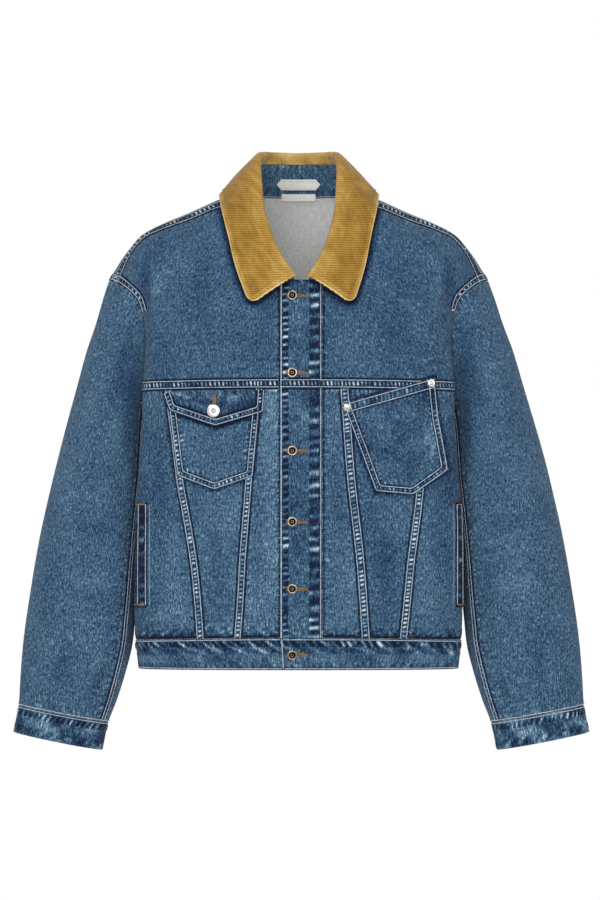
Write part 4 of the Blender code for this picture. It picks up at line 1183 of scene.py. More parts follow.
def even_line(line, spacing):
    """The line's points again, evenly spaced, with their distances along it."""
    runs = runs_along(line)
    count = max(int(round(runs[-1] / spacing)), 2)
    at = np.linspace(0, runs[-1], count + 1)
    return np.stack([np.interp(at, runs, line[:, k]) for k in range(line.shape[1])], -1), at


def frames_along(line, cloth):
    """A line's nearest places on the cloth, and the directions to the line's left."""
    places, normals = cloth.near(line)
    ahead = unit_rows(np.gradient(places, axis=0))
    return places, unit_rows(np.cross(normals, ahead))


PUCKER_DRIFT = 0.35  # how far puckers stray from an even pitch, in pitches
DRIFT_PERIOD = 2.3  # over how many pitches they do
PUCKER_SHARPNESS = 1.6
PUCKER_STRENGTH = 0.72
UNEVENNESS = 0.38
UNEVEN_PERIOD = 1.7


def roping(along, offset, pitch, slant, seed):
    """The diagonal puckers of a shrunken seam, from 0 to about 1."""
    drift = noise_line(along, pitch * DRIFT_PERIOD, seed) * PUCKER_DRIFT
    phase = (along + slant * offset) / pitch + drift
    swell = (0.5 + 0.5 * np.cos(math.tau * phase)) ** PUCKER_SHARPNESS
    strong = PUCKER_STRENGTH + UNEVENNESS * noise_line(along, pitch * UNEVEN_PERIOD, seed + 1)
    return swell * strong


class Gathered:
    """Many small meshes that become one piece."""

    def __init__(self):
        self.points = []
        self.faces = []
        self.grain = []
        self.wear_and_shade = []
        self.count = 0

    def add(self, points, faces, grain=None, wear_and_shade=None):
        points = np.asarray(points).reshape(-1, 3)
        number = len(points)
        self.points.append(points)
        self.faces += [[int(k) + self.count for k in face] for face in faces]
        self.grain.append(np.zeros((number, 2)) if grain is None else grain.reshape(-1, 2))
        self.wear_and_shade.append(np.zeros(number) if wear_and_shade is None else wear_and_shade.ravel())
        self.count += number

    def piece(self, name, material, slot=None):
        marks = {"wear_and_shade": np.concatenate(self.wear_and_shade)}
        grain = np.concatenate(self.grain)
        points = np.concatenate(self.points)
        made = make_piece(name, points, self.faces, [material], grain, marks)
        return made


# A raised strip of seam beside a line: how far left of it the strip starts and ends, how high
# it stands, the pitch of its puckers, how strongly they are worn, and its own shade.
Strip = namedtuple("Strip", "start end height pitch worn shade")
SKIRT = 1.7  # how far the dark line beside a strip reaches: unfaded cloth and painted shadow
SKIRT_LIFT = 0.12
SKIRT_SHADE = -0.42
FLECK_REACH = 0.32  # how far from a strip's middle its worn flecks go, for each unit of width
STRIP_STEP = 1.4
STRIP_SLANT = 0.12
ROW_INSET = 2.1  # how far inside a strip's edges its rows of stitches lie
ROW_HEIGHT = 0.52  # how high on the strip the stitches lie, as a share of its height
GROOVE_WIDTH = 0.75
FLECK_GROOVE = 1.5  # how far from a row of stitches no flecks are worn
EDGE_ROUNDING = 1.0
SURE_EDGE = 0.55  # how far inside a strip's edge its second line lies
MIDDLE_INSET = 1.6  # and how far inside its even lines start
MIDDLE_SPACING = 1.5
FLAT_HEIGHT = 0.62  # what a strip's height is made of: even, puckered, and pressed by the rows
PUCKERED_HEIGHT = 0.55
GROOVE_DEPTH = 0.28
UNDER_CLOTH = -0.3  # the skirt's outermost line dips into the cloth
FLECK_STRENGTH = 1.15
FLECK_LEVEL = 0.36  # how much darker the cloth between the flecks is
# Painted shade on a strip's rounded edges.
EDGE_SHADE = 0.2
WAVE_PERIOD = 23.0
WAVE_SHADE = 0.035
END_FADE = 2.0  # over how much of its length a strip sinks at its ends
END_SINK = 0.6
GRAIN_SHIFT = np.array([37.0, 61.0])  # sets each strip's weave apart, by its seed
STITCH_PITCH = 3.0
STITCH_LENGTH = 3.1
STITCH_RADIUS = 0.72


def strip_offsets(strip):
    """The distances from the line at which a strip's points lie, with its skirts."""
    count = max(int((strip.end - strip.start) / MIDDLE_SPACING), 3)
    inside = np.linspace(strip.start + MIDDLE_INSET, strip.end - MIDDLE_INSET, count)
    steps = np.array([SKIRT, SKIRT * 0.7, 0.0, -SURE_EDGE])
    return np.concatenate([strip.start - steps, inside, strip.end + steps[::-1]])


def strip_height(strip, offsets):
    """A strip's section, with rounded edges, from 0 to 1."""
    edge = np.minimum(offsets - strip.start, strip.end - offsets) / EDGE_ROUNDING
    return np.sqrt(1 - (1 - np.clip(edge, 0, 1)) ** 2)


def lay_strip(bundle, line, cloth, strip, seed, rows=(1, 1)):
    """A felled strip; returns the lines of its stitches with their normals."""
    line, runs = even_line(np.asarray(line), STRIP_STEP)
    places, left = frames_along(line, cloth)
    offsets = strip_offsets(strip)
    spread = places[:, None] + left[:, None] * offsets[None, :, None]
    base, base_normals = cloth.near(spread)
    across = np.broadcast_to(offsets, spread.shape[:2])
    along = np.broadcast_to(runs[:, None], spread.shape[:2])
    pulse = roping(along, across - strip.start, strip.pitch, STRIP_SLANT, seed)
    profile = strip_height(strip, across)
    stitches = [strip.start + ROW_INSET, strip.end - ROW_INSET]
    groove = sum(bell(across - place, GROOVE_WIDTH) for place in stitches)
    wavy = noise_line(along, WAVE_PERIOD, seed + 5)
    beyond = np.maximum(strip.start - across, across - strip.end)
    height = strip.height * profile * (FLAT_HEIGHT + PUCKERED_HEIGHT * pulse - GROOVE_DEPTH * groove)
    height += np.where(beyond < SKIRT * 0.9, SKIRT_LIFT, UNDER_CLOTH)
    middle = (strip.start + strip.end) / 2
    reach = FLECK_REACH * (strip.end - strip.start)
    between = np.exp(-(((across - middle) / reach) ** 4))
    for place in stitches:
        between *= 1 - bell(across - place, FLECK_GROOVE)
    # The skirt is darkened as unfaded cloth and painted shadow, and the rounded edges by painted shade.
    wear_and_shade = strip.worn * (FLECK_STRENGTH * pulse * between - FLECK_LEVEL) + strip.shade
    wear_and_shade = wear_and_shade - EDGE_SHADE * (1 - profile) + WAVE_SHADE * wavy
    wear_and_shade = np.where(beyond >= 0, SKIRT_SHADE, wear_and_shade)
    lifted = base + base_normals * height[..., None]
    ends = smooth_step(np.minimum(runs, runs[-1] - runs) / END_FADE)[:, None]
    lifted -= base_normals * (strip.height * (1 - ends) * END_SINK)[..., None]
    grain = np.stack([across, along], -1) + GRAIN_SHIFT * seed
    bundle.add(lifted, grid_faces(*spread.shape[:2], turned_over=True), grain, wear_and_shade)
    found = []
    for offset, wanted in zip(stitches, rows):
        if wanted:
            on, on_normals = cloth.near(places + left * offset)
            found.append((on + on_normals * strip.height * ROW_HEIGHT, on_normals))
    return found


def lay_stitches(
    bundle, line, normals, pitch=STITCH_PITCH, length=STITCH_LENGTH, radius=STITCH_RADIUS, lift=0.15
):
    """A row of sewn stitches, each a small rounded bar that dips at its ends."""
    joined = np.concatenate([line, normals], -1)
    spaced_line, _ = even_line(joined, pitch)
    middle = (spaced_line[1:] + spaced_line[:-1]) / 2
    ahead = unit_rows(spaced_line[1:, :3] - spaced_line[:-1, :3])
    up = unit_rows(middle[:, 3:])
    side = unit_rows(np.cross(up, ahead))
    centre = middle[:, :3] + up * lift
    half = length / 2
    rings = []
    for share in (-0.72, 0.72):
        for k in range(4):
            swing = math.tau * (k + 0.5) / 4
            around = side * math.cos(swing) + up * math.sin(swing)
            rings.append(centre + ahead * half * share * 1.1 + around * radius)
    tips = [centre - ahead * half - up * radius * 0.5, centre + ahead * half - up * radius * 0.5]
    points = np.stack(rings + tips, 1)
    pattern = []
    for k in range(4):
        after = (k + 1) % 4
        pattern.append([k, 4 + k, 4 + after, after])
        pattern.append([8, k, after])
        pattern.append([9, 4 + after, 4 + k])
    faces = []
    for i in range(len(points)):
        faces += [[10 * i + k for k in face] for face in pattern]
    bundle.add(points, faces)


def offset_row(line, cloth, offset):
    """A line moved to its left on the cloth, and its normals."""
    line, _ = even_line(np.asarray(line), STITCH_PITCH)
    places, left = frames_along(line, cloth)
    return cloth.near(places + left * offset)


# ---------------------------------------------------------------- folds
def relieved(sheet, height, wear_and_shade=0.0):
    """The sheet raised by height, and marked with wear and painted shade."""
    raised = sheet.copy()
    raised[..., POINT] += sheet[..., NORMAL] * np.asarray(height)[..., None]
    raised[..., WEAR_AND_SHADE] += wear_and_shade
    return raised


# Soft troughs and ridges of the cloth, seen from the front or the back: face -1 or 1, from one
# end over a bend to the other, how deep (a ridge is negative) and how wide.
FOLD_FIELDS = "face from_x from_z bend_x bend_z to_x to_z depth width"
FOLDS = table(
    FOLD_FIELDS,
    (-1, -206, -78, -198, -118, -202, -168, 2.6, 9), (-1, -193, -84, -186, -122, -190, -160, -1.8, 9),
    (-1, 200, -76, 196, -116, 200, -150, 2.4, 9), (-1, 187, -82, 183, -120, 187, -158, -1.7, 9),
    (-1, -186, -300, -180, -380, -188, -470, 2.0, 16),
    (-1, -160, -420, -166, -500, -158, -575, -2.0, 14),
    (-1, -112, -430, -104, -500, -100, -570, 1.8, 13), (-1, -52, -330, -46, -420, -54, -520, 1.6, 12),
    (-1, -40, -250, -38, -300, -42, -360, -1.2, 10), (-1, 52, -300, 56, -400, 50, -500, 1.6, 13),
    (-1, 66, -480, 70, -530, 62, -580, -1.6, 11), (-1, 118, -430, 110, -500, 116, -575, 1.9, 14),
    (-1, 170, -400, 164, -480, 172, -560, -2.1, 14), (-1, 196, -300, 190, -360, 198, -430, 2.2, 15),
    (-1, -120, -70, -130, -130, -122, -200, 1.3, 16), (-1, 128, -60, 136, -130, 130, -190, 1.3, 16),
    (1, -190, -90, -150, -130, -150, -240, 5.1, 15), (1, 188, -96, 154, -140, 158, -260, 4.8, 16),
    (1, -120, -150, -96, -260, -110, -400, 4.2, 20), (1, 96, -170, 84, -300, 100, -440, 4.5, 20),
    (1, -40, -80, -30, -200, -36, -330, 3.2, 22), (1, 26, -300, 36, -420, 24, -560, 3.8, 18),
    (1, -170, -360, -150, -460, -164, -570, 4.8, 16), (1, -90, -440, -80, -510, -92, -580, -3.8, 14),
    (1, 150, -420, 160, -500, 146, -578, 4.5, 15), (1, 60, -480, 70, -530, 58, -580, -3.5, 12),
)
FOLD_STEPS = 14
FACING_SOFTNESS = 2.2
SLEEVE_FOLDS = table(
    FOLD_FIELDS,
    (-1, -215, -160, -231, -215, -244, -281, 3.0, 11), (-1, -211, -189, -223, -268, -226, -359, 2.5, 9),
    (-1, -299, -425, -267, -447, -236, -436, 2.2, 12),
    (-1, -312, -490, -273, -519, -244, -501, -1.9, 12),
    (-1, -289, -661, -278, -634, -255, -602, -1.6, 5), (-1, -325, -648, -310, -622, -304, -582, 1.8, 9),
    (-1, -276, -664, -262, -640, -258, -620, 1.6, 6), (-1, 213, -166, 227, -222, 238, -287, 3.0, 11),
    (-1, 209, -196, 222, -274, 222, -359, 2.4, 9), (-1, 301, -418, 270, -441, 240, -428, 2.1, 12),
    (-1, 316, -497, 280, -520, 251, -506, -1.8, 12), (-1, 290, -663, 280, -634, 261, -608, -1.6, 5),
    (-1, 327, -648, 314, -619, 308, -582, 1.9, 9), (-1, 272, -668, 268, -644, 262, -622, 1.5, 6),
    (1, -240, -150, -262, -260, -270, -380, 3.6, 14), (1, -302, -400, -270, -444, -246, -430, 3.2, 13),
    (1, -312, -520, -285, -562, -266, -604, 2.8, 12), (1, -262, -470, -280, -500, -300, -486, -2.2, 12),
    (1, 238, -156, 258, -270, 272, -372, 3.8, 14), (1, 304, -412, 274, -450, 248, -440, 3.0, 13),
    (1, 314, -530, 290, -570, 268, -598, 2.6, 12), (1, 266, -484, 284, -512, 304, -496, -2.0, 12),
)
CREASE_WEAR = 0.05  # how much paler each millimetre of a ridge is worn
BACK_CREASE_WEAR = 0.018


def folded(sheet, folds, keep=1.0, crease_wear=CREASE_WEAR):
    """The sheet moved in along its normals by the folds. keep: 0 where nothing may move."""
    points = sheet[..., POINT]
    depth = np.zeros(points.shape[:-1])
    t = np.linspace(0, 1, FOLD_STEPS)
    for fold in folds:
        x = (1 - t) ** 2 * fold.from_x + 2 * t * (1 - t) * fold.bend_x + t**2 * fold.to_x
        z = (1 - t) ** 2 * fold.from_z + 2 * t * (1 - t) * fold.bend_z + t**2 * fold.to_z
        best = np.full(points.shape[:-1], np.inf)
        place = np.zeros(points.shape[:-1])
        for i in range(FOLD_STEPS - 1):
            step = np.array([x[i + 1] - x[i], z[i + 1] - z[i]])
            away_x = points[..., 0] - x[i]
            away_z = points[..., 2] - z[i]
            share = np.clip((away_x * step[0] + away_z * step[1]) / step.dot(step), 0, 1)
            distance = np.hypot(away_x - share * step[0], away_z - share * step[1])
            nearer = distance < best
            best = np.where(nearer, distance, best)
            place = np.where(nearer, (i + share) / (FOLD_STEPS - 1), place)
        taper = np.sin(math.pi * np.clip(place, 0.001, 0.999)) ** 0.7
        wide = fold.width * (0.7 + 0.5 * place)
        facing = np.clip(fold.face * sheet[..., NORMAL][..., 1] * FACING_SOFTNESS, 0, 1)
        depth += fold.depth * taper * facing * bell(best, wide)
    return relieved(sheet, -depth * keep, -crease_wear * depth * keep)


def edge_keep(rows, columns, count):
    """1 inside a sheet, falling softly to 0 on its border over count lines."""
    row = np.minimum(np.arange(rows), np.arange(rows)[::-1])[:, None]
    column = np.minimum(np.arange(columns), np.arange(columns)[::-1])[None]
    return smooth_step(np.minimum(row, column) / count)


# ---------------------------------------------------------------- the sheets
front_coarse = front_grid()
back_coarse = back_grid()
band_coarse = waistband_grid()
armhole = armhole_loop(front_coarse, back_coarse)
right_sleeve_coarse = sleeve_grid(armhole, 0)
left_sleeve_coarse = sleeve_grid(armhole, LEFT_SLEEVE_SWING)
neck = neck_loop(front_coarse, back_coarse)
collar_coarse = collar_grid(neck)
right_sleeve_coarse = np.concatenate([right_sleeve_coarse, right_sleeve_coarse[:, :1]], 1)
left_sleeve_coarse = np.concatenate([left_sleeve_coarse, left_sleeve_coarse[:, :1]], 1)
right_sleeve_coarse = mirrored(right_sleeve_coarse)
coarse = [front_coarse, back_coarse, band_coarse, left_sleeve_coarse, right_sleeve_coarse, collar_coarse]
normals_coarse = common_normals(coarse)


def fine_sheet(which, row_steps, column_steps, closed=False, middle=0):
    """One of the coarse grids, finely redrawn. middle: the column where its grain starts."""
    points = refined(coarse[which], row_steps, column_steps, closed)
    normals = unit_rows(refined(normals_coarse[which], row_steps, column_steps, closed))
    return sheet_of(points, normals, middle * column_steps)


front = fine_sheet(0, FINE_ROWS, FINE_COLUMNS_BODY, middle=LEFT_EDGE)
keep = edge_keep(*front.shape[:2], 6)
front = folded(front, FOLDS, keep)
back = fine_sheet(1, FINE_ROWS, FINE_COLUMNS_BODY, middle=BACK_COLUMNS)
keep = edge_keep(*back.shape[:2], 6)
back = folded(back, FOLDS, keep, BACK_CREASE_WEAR)
band = fine_sheet(2, BAND_FINE_ROWS, BAND_FINE_COLUMNS)
sleeve_left = fine_sheet(3, SLEEVE_FINE_ROWS, SLEEVE_FINE_COLUMNS, closed=True)
sleeve_right = fine_sheet(4, SLEEVE_FINE_ROWS, SLEEVE_FINE_COLUMNS, closed=True)
row = np.arange(sleeve_left.shape[0])[:, None]
keep = smooth_step((row - SLEEVE_FINE_ROWS - 1) / 8) * smooth_step((row[-1, 0] - row) / 6)
sleeve_left = folded(sleeve_left, SLEEVE_FOLDS, keep)
sleeve_right = folded(sleeve_right, SLEEVE_FOLDS, keep)


def cut(sheet, rows, columns, row_steps=FINE_ROWS, column_steps=FINE_COLUMNS_BODY):
    """A panel between construction lines: rows and columns are (first, last)."""
    row = slice(rows[0] * row_steps, rows[1] * row_steps + 1)
    column = slice(columns[0] * column_steps, columns[1] * column_steps + 1)
    return sheet[row, column]


# ---------------------------------------------------------------- relief of the fine sheets
def band_of(distance, start, end, soft=1.2):
    """1 between two distances from an edge, falling softly to 0 on both sides."""
    return smooth_step((distance - start) / soft + 0.5) * smooth_step((end - distance) / soft + 0.5)


def from_line(flat, line):
    """How far each place (across, height) is from a bent line, and how far along it."""
    line = np.asarray(line, float)
    best = np.full(flat.shape[:-1], np.inf)
    place = np.zeros(flat.shape[:-1])
    start = 0.0
    for first, last in zip(line, line[1:]):
        step = last - first
        length = np.hypot(*step)
        share = np.clip(((flat - first) @ step) / length**2, 0, 1)
        distance = np.linalg.norm(flat - first - share[..., None] * step, axis=-1)
        nearer = distance < best
        best = np.where(nearer, distance, best)
        place = np.where(nearer, start + share * length, place)
        start += length
    return best, place


# Puckers along an edge: the distances from it between which they lie, their pitch and slant,
# their height, how strongly they are worn, and the seed of their unevenness.
Rope = namedtuple("Rope", "start end pitch slant height worn seed")
ROPES = {
    "front_hem": Rope(2.6, 15.0, 15.0, 1.2, 0.9, 0.5, 61),
    "front_yoke": Rope(2.0, 12.0, 8.5, 0.2, 0.5, 0.5, 62),
    "back_hem": Rope(2.6, 17.0, 16.0, -1.2, 1.0, 0.5, 63),
    "placket_free": Rope(3.2, 11.0, 9.2, -0.12, 0.8, 1.2, 11),
    "placket_stitched": Rope(4.6, 18.0, 14.5, 0.1, 0.8, 0.95, 12),
    "band_top": Rope(3.4, 12.0, 10.5, -0.85, 1.0, 1.1, 21),
    "band_wide": Rope(5.0, 21.0, 29.0, -1.7, 1.1, 0.6, 23),
    "band_hem": Rope(3.6, 9.5, 9.5, 0.5, 0.4, 0.3, 22),
    "cuff_seam": Rope(4.0, 12.0, 7.5, 0.4, 0.9, 1.15, 31),
    "cuff_end": Rope(3.6, 12.0, 15.0, -0.9, 0.5, 0.45, 41),
    "welt": Rope(3.6, 13.5, 15.0, 0.0, 0.7, 0.85, 401),
}
BLOTCH = 9.0  # how wide the worn patches of a puckered edge are
BLOTCH_LEVEL = 0.75
BLOTCH_STRENGTH = 0.5
GROOVE_REACH = 1.7  # how wide a row of stitches presses a wall in
# How far inside their edges the rows of stitches lie.
FREE_ROW = 1.5
STITCHED_ROW = 3.0
SEAM_ROW = 2.2
HEM_ROW = 2.6
SLEEVE_ROW = 1.8
SEWN_LIFT = 0.2


def roped_edge(sheet, distance, along, title, more_seed=0):
    """Puckers along one edge of a sheet, worn pale on their tops and dark between."""
    rope = ROPES[title]
    seed = rope.seed + more_seed
    inside = band_of(distance, rope.start, rope.end)
    pulse = roping(along, distance - rope.start, rope.pitch, rope.slant, seed)
    uneven = BLOTCH_LEVEL + BLOTCH_STRENGTH * noise_plane(distance, along, BLOTCH, seed + 3)
    worn = inside * rope.worn * (pulse * uneven - FLECK_LEVEL)
    return relieved(sheet, inside * rope.height * pulse, worn)


# A row of stitches pressing the wall in, with painted shade in the groove.
def stitched_groove(sheet, distance, place, depth=0.3, width=GROOVE_REACH, shade=0.3):
    groove = bell(distance - place, width)
    return relieved(sheet, -depth * groove, -shade * groove)


def level_grain(sheet):
    """The sheet with its grain square to its long edges, however it flares."""
    sheet = sheet.copy()
    sheet[..., ACROSS] = sheet[..., ACROSS].mean(0)
    return sheet


def spread_round(flat, place):
    """1 in the middle of a place (across, height, half width, half height), 0 far from it."""
    across, height, half_width, half_height = place
    away = ((flat[..., 0] - across) / half_width) ** 2 + ((flat[..., 1] - height) / half_height) ** 2
    return np.exp(-away)


def painted_shadow_beside(sheet, line, reach, shade, deep=0.0):
    """The sheet darkened by a painted shadow, and pressed in by deep, along a line of (across, height) at
    its front.
    """
    away, _ = from_line(sheet[..., [0, 2]], line)
    near = bell(away, reach) * (sheet[..., 1] < FRONT_HALF)
    return relieved(sheet, -deep * near, -shade * near)


PALE = Gathered()
TAN = Gathered()
SLIT_SHADOW = Gathered()
SEAMS = Gathered()

# ---------------------------------------------------------------- the collar
STAND_ROWS = len(STAND_SHARES) - 1
STAND_FINE = 8
FALL_FINE_ROWS = 4
STAND_RAISED = 3  # of the fall's fine rows that the stand's denim covers
FALL_FINE_COLUMNS = 24
WALE_HEIGHT = 0.34
FRONT_WALES_FROM = 0.27  # along the collar, where its wales start to turn level
FRONT_WALES_TO = 0.42
LAST_NECK_COLUMN = collar_coarse.shape[1] - 1
collar = fine_sheet(5, STAND_FINE, STAND_FINE)
stand = cut(collar, (0, STAND_ROWS + 1), (0, LAST_NECK_COLUMN), STAND_FINE, STAND_FINE)
stand = level_grain(stand[:STAND_FINE * STAND_ROWS + STAND_RAISED * STAND_FINE // FALL_FINE_ROWS + 1])
wall("collar_stand", stand, DENIM, (DENIM_FINISH, DENIM_FINISH), WIDE_BELOW)

collar = fine_sheet(5, FALL_FINE_ROWS, FALL_FINE_COLUMNS)
last_row = collar_coarse.shape[0] - 1
fall = cut(collar, (STAND_ROWS, last_row), (0, LAST_NECK_COLUMN), FALL_FINE_ROWS, FALL_FINE_COLUMNS)
fall = fall[STAND_RAISED:]
runs = signed_runs(neck)
fine_runs = spline_rows(runs[:, None], FALL_FINE_COLUMNS)[:, 0]
LEAF_MIDDLE = 9 * FALL_FINE_ROWS - STAND_RAISED
ROLL_MIDDLE = 4 * FALL_FINE_ROWS - STAND_RAISED  # the fall's row on top of its roll
END_REACH = 48.0  # the length of leaf over which its front ends are drawn out
END_LENGTH = 10.0
END_SHAPE = 0.8
END_AIM = 6  # the fine column from which the end's direction is taken
EDGE_AIM = 8  # and the fine row, from the outer edge, for the direction inward
TIP_RADIUS = 14.0
SCALLOP = 0.5  # how far the wales stand out at the leaf's ends
ROLL_WEAR = 0.16
ROLL_WEAR_ROWS = 14.0
# Lines along the leaf's border: how far inside it, and how wide.
DITCH = (9.0, 1.1)
SWELL = (6.0, 2.4)
RUBBED = (0.0, 1.9)


def leaf_ends(fall):
    """The front ends drawn out beside the neck, with rounded tips."""
    fall = fall.copy()
    rows = fall.shape[0]
    row = np.arange(rows)
    rising = smooth_step(row / ROLL_MIDDLE)
    share = np.clip((row - ROLL_MIDDLE) / (rows - 1 - ROLL_MIDDLE), 0, 1)
    drawn = END_LENGTH * rising * (1 - share) ** END_SHAPE
    for _ in range(2):
        points = fall[..., POINT]
        _, _, from_first, _ = edge_distances(fall)
        ahead = unit_rows(points[:, :1] - points[:, END_AIM:END_AIM + 1])
        near = smooth_step(1 - from_first / END_REACH) ** 2
        fall[..., POINT] += ahead * (drawn[:, None] * near)[..., None]
        points = fall[..., POINT]
        _, from_edge, from_first, _ = edge_distances(fall)
        u = np.clip(1 - from_edge / TIP_RADIUS, 0, 1)
        v = np.clip(1 - from_first / TIP_RADIUS, 0, 1)
        inward = unit_rows(points[-EDGE_AIM:1 - EDGE_AIM] - points[-1:])
        back_along = -ahead
        move_u = (u - u * np.sqrt(1 - v**2 / 2)) * TIP_RADIUS
        move_v = (v - v * np.sqrt(1 - u**2 / 2)) * TIP_RADIUS
        fall[..., POINT] += inward * move_u[..., None] + back_along * move_v[..., None]
        fall = fall[:, ::-1]
    return fall


fall = leaf_ends(fall)
middle_line = fall[LEAF_MIDDLE, :, POINT]
middle_runs = runs_along(middle_line)
centre = len(middle_runs) // 2
sideways = np.abs(middle_runs - middle_runs[centre])
level = smooth_step((np.abs(fine_runs) - FRONT_WALES_FROM) / (FRONT_WALES_TO - FRONT_WALES_FROM))
turning = int(np.argmin(np.abs(fine_runs - FRONT_WALES_TO)))
meeting = sideways[turning] + middle_line[turning, 2]
downward = meeting - fall[..., 2]
fall[..., WALE] = sideways * (1 - level) + downward * level
wale = np.cos(math.tau * fall[..., WALE] / WALE_PITCH)
_, from_edge, from_left, from_right = edge_distances(fall)
leaf = smooth_step(((np.arange(fall.shape[0]) + STAND_RAISED) / FALL_FINE_ROWS - 6) / 2)[:, None]
from_end = np.minimum(from_left, from_right)
from_border = np.minimum(from_edge, from_end)
border_lines = (DITCH, SWELL, RUBBED)
ditch, swell, rubbed = (bell(from_border - place, wide) * leaf for place, wide in border_lines)
crease = noise_plane(fall[..., 0], fall[..., 2], 31.0, 55)
brown = 0.07 * noise_plane(fall[..., 0], fall[..., 2], 22.0, 56)
behind = ROLL_WEAR * smooth_step((fall[..., 1] - 20.0) / 30.0) * (1 - leaf)
roll_wear = ROLL_WEAR * bell(np.arange(fall.shape[0]) - ROLL_MIDDLE, ROLL_WEAR_ROWS)[:, None]
raised = WALE_HEIGHT * wale - 0.6 * ditch + 0.4 * swell + 0.35 * crease * leaf
# The ditch is darkened by painted shade in its groove.
worn = 1.0 * rubbed - 0.1 * ditch + 0.2 * swell + brown + roll_wear + behind - 0.04 * leaf
fall = relieved(fall, raised, worn)
along_end = SCALLOP * wale * np.exp(-from_end / 3.0)
outward = unit_rows(np.gradient(fall[..., POINT], axis=1))
toward = np.where(from_left < from_right, -1.0, 1.0)
fall[..., POINT] += outward * (along_end * toward)[..., None]
both_sides = (CORDUROY_FINISH, CORDUROY_FINISH)
wall("collar", fall, CORDUROY, both_sides, EVEN_GAPS)

# ---------------------------------------------------------------- painted shadows beside raised edges
FRONT_HALF = 0.0  # what lies before this depth is the front
leaf_outlines = [fall[-1][:, [0, 2]], fall[ROLL_MIDDLE:, 0][:, [0, 2]], fall[ROLL_MIDDLE:, -1][:, [0, 2]]]
LEAF_SHADE = (5.0, 0.5, 0.4)  # reach, darkness and depth of the painted shadow beside the collar
# The same for the painted shadows beside the pockets and beside the placket's edges.
PATCH_SHADE = (2.6, 0.42, 0.3)
PLACKET_SHADE = (2.0, 0.4, 0.2)
# Worn places of the front: across, height, half width and half height, and how pale.
PALE_SPOTS = (
    (-183, -552, 14, 8, 0.16),
    (-38, -470, 12, 70, 0.05),
    (-150, -130, 30, 50, 0.04),
    (96, -520, 16, 40, 0.05),
    (60, -390, 10, 60, 0.05),
)
LOW_SHADE = (3.3, 0.95, 0.5)  # painted shadow along the seam above the waistband
placket_edges = [front[:, column * FINE_COLUMNS_BODY][:, [0, 2]] for column in (LEFT_EDGE, RIGHT_EDGE)]
above_waist = edge_distances(front)[0]
front = roped_edge(front, above_waist, front[..., ACROSS], "front_hem")
above_yoke = front[..., ALONG] - front[YOKE_ROW * FINE_ROWS, :, ALONG]
front = roped_edge(front, above_yoke, front[..., ACROSS], "front_yoke")
back = roped_edge(back, edge_distances(back)[0], back[..., ACROSS], "back_hem")
for *place, strength in PALE_SPOTS:
    front[..., WEAR_AND_SHADE] += strength * spread_round(front[..., [0, 2]], place) * (front[..., 1] < FRONT_HALF)
for bent in leaf_outlines:
    front = painted_shadow_beside(front, bent, *LEAF_SHADE)
front = painted_shadow_beside(front, front[0][:, [0, 2]], *LOW_SHADE)
for bent in placket_edges:
    front = painted_shadow_beside(front, bent, *PLACKET_SHADE)
for bent in (POCKET_BOTTOM, POCKET_LEFT_SIDE, POCKET_RIGHT_SIDE, TILTED_BOTTOM, TILTED_INNER_SIDE,
                TILTED_OUTER_SIDE, TILTED_TOP):
    front = painted_shadow_beside(front, bent, *PATCH_SHADE)

# How much paler or darker than the rest each panel is washed.
TONES = {
    "front_centre_right": 0.07,
    "front_centre_left": 0.02,
    "front_middle_right": 0.03,
    "front_side_right": -0.02,
    "front_middle_left": -0.03,
    "front_side_left": -0.03,
}
YOKE_TONE = -0.04

# ---------------------------------------------------------------- the body's panels
LAST_ROW = len(LOWER_HEIGHTS) - 1 + FRONT_TURNS
LAST_COLUMN = 2 * sum(HALF_COUNTS) + PLACKET_COLUMNS
stops = [0]
for count in HALF_COUNTS[::-1] + (PLACKET_COLUMNS,) + HALF_COUNTS:
    stops.append(stops[-1] + count)
for panel, first, last in zip(FRONT_PANELS, stops, stops[1:]):
    if panel is None:
        continue
    name = "front_" + panel
    part = cut(front, (0, YOKE_ROW), (first, last)).copy()
    part[..., WEAR_AND_SHADE] += TONES[name]
    wall(name, part, DENIM, CLOTH, EVEN_GAPS)
for side, first, last in (("right", 0, LEFT_EDGE), ("left", RIGHT_EDGE, LAST_COLUMN)):
    name = "front_yoke_" + side
    part = cut(front, (YOKE_ROW, LAST_ROW), (first, last)).copy()
    part[..., WEAR_AND_SHADE] += YOKE_TONE
    wall(name, part, DENIM, CLOTH, EVEN_GAPS)
placket = cut(front, (0, LAST_ROW), (LEFT_EDGE, RIGHT_EDGE))
wall("placket_under", placket, DENIM, CLOTH, EVEN_GAPS)
wall("back", back, DENIM, CLOTH, EVEN_GAPS)

# The over placket, drawn finer than the panels.
PLACKET_FINE_ROWS = 18
PLACKET_FINE_COLUMNS = 13
strip_points = front_coarse[:, LEFT_EDGE:RIGHT_EDGE + 1]
strip_normals = normals_coarse[0][:, LEFT_EDGE:RIGHT_EDGE + 1]
over = sheet_of(
    refined(strip_points, PLACKET_FINE_ROWS, PLACKET_FINE_COLUMNS),
    unit_rows(refined(strip_normals, PLACKET_FINE_ROWS, PLACKET_FINE_COLUMNS)),
)
over = relieved(over, OVERLAP)
_, _, from_free, from_stitched = edge_distances(over)
up = over[..., ALONG]
over[..., WEAR_AND_SHADE] -= 0.04
for bent in leaf_outlines:
    over = painted_shadow_beside(over, bent, *LEAF_SHADE)
blotch = noise_plane(over[..., ACROSS], up, 11.0, 15) + 0.6 * noise_plane(over[..., ACROSS], up, 5.0, 16)
over[..., WEAR_AND_SHADE] += 0.09 * blotch
over = roped_edge(over, from_free, up, "placket_free")
over = roped_edge(over, from_stitched, up, "placket_stitched")
over = stitched_groove(over, from_free, FREE_ROW)
over = stitched_groove(over, from_stitched, STITCHED_ROW)
wall("placket_over", over, DENIM, CLOTH, EVEN_GAPS)


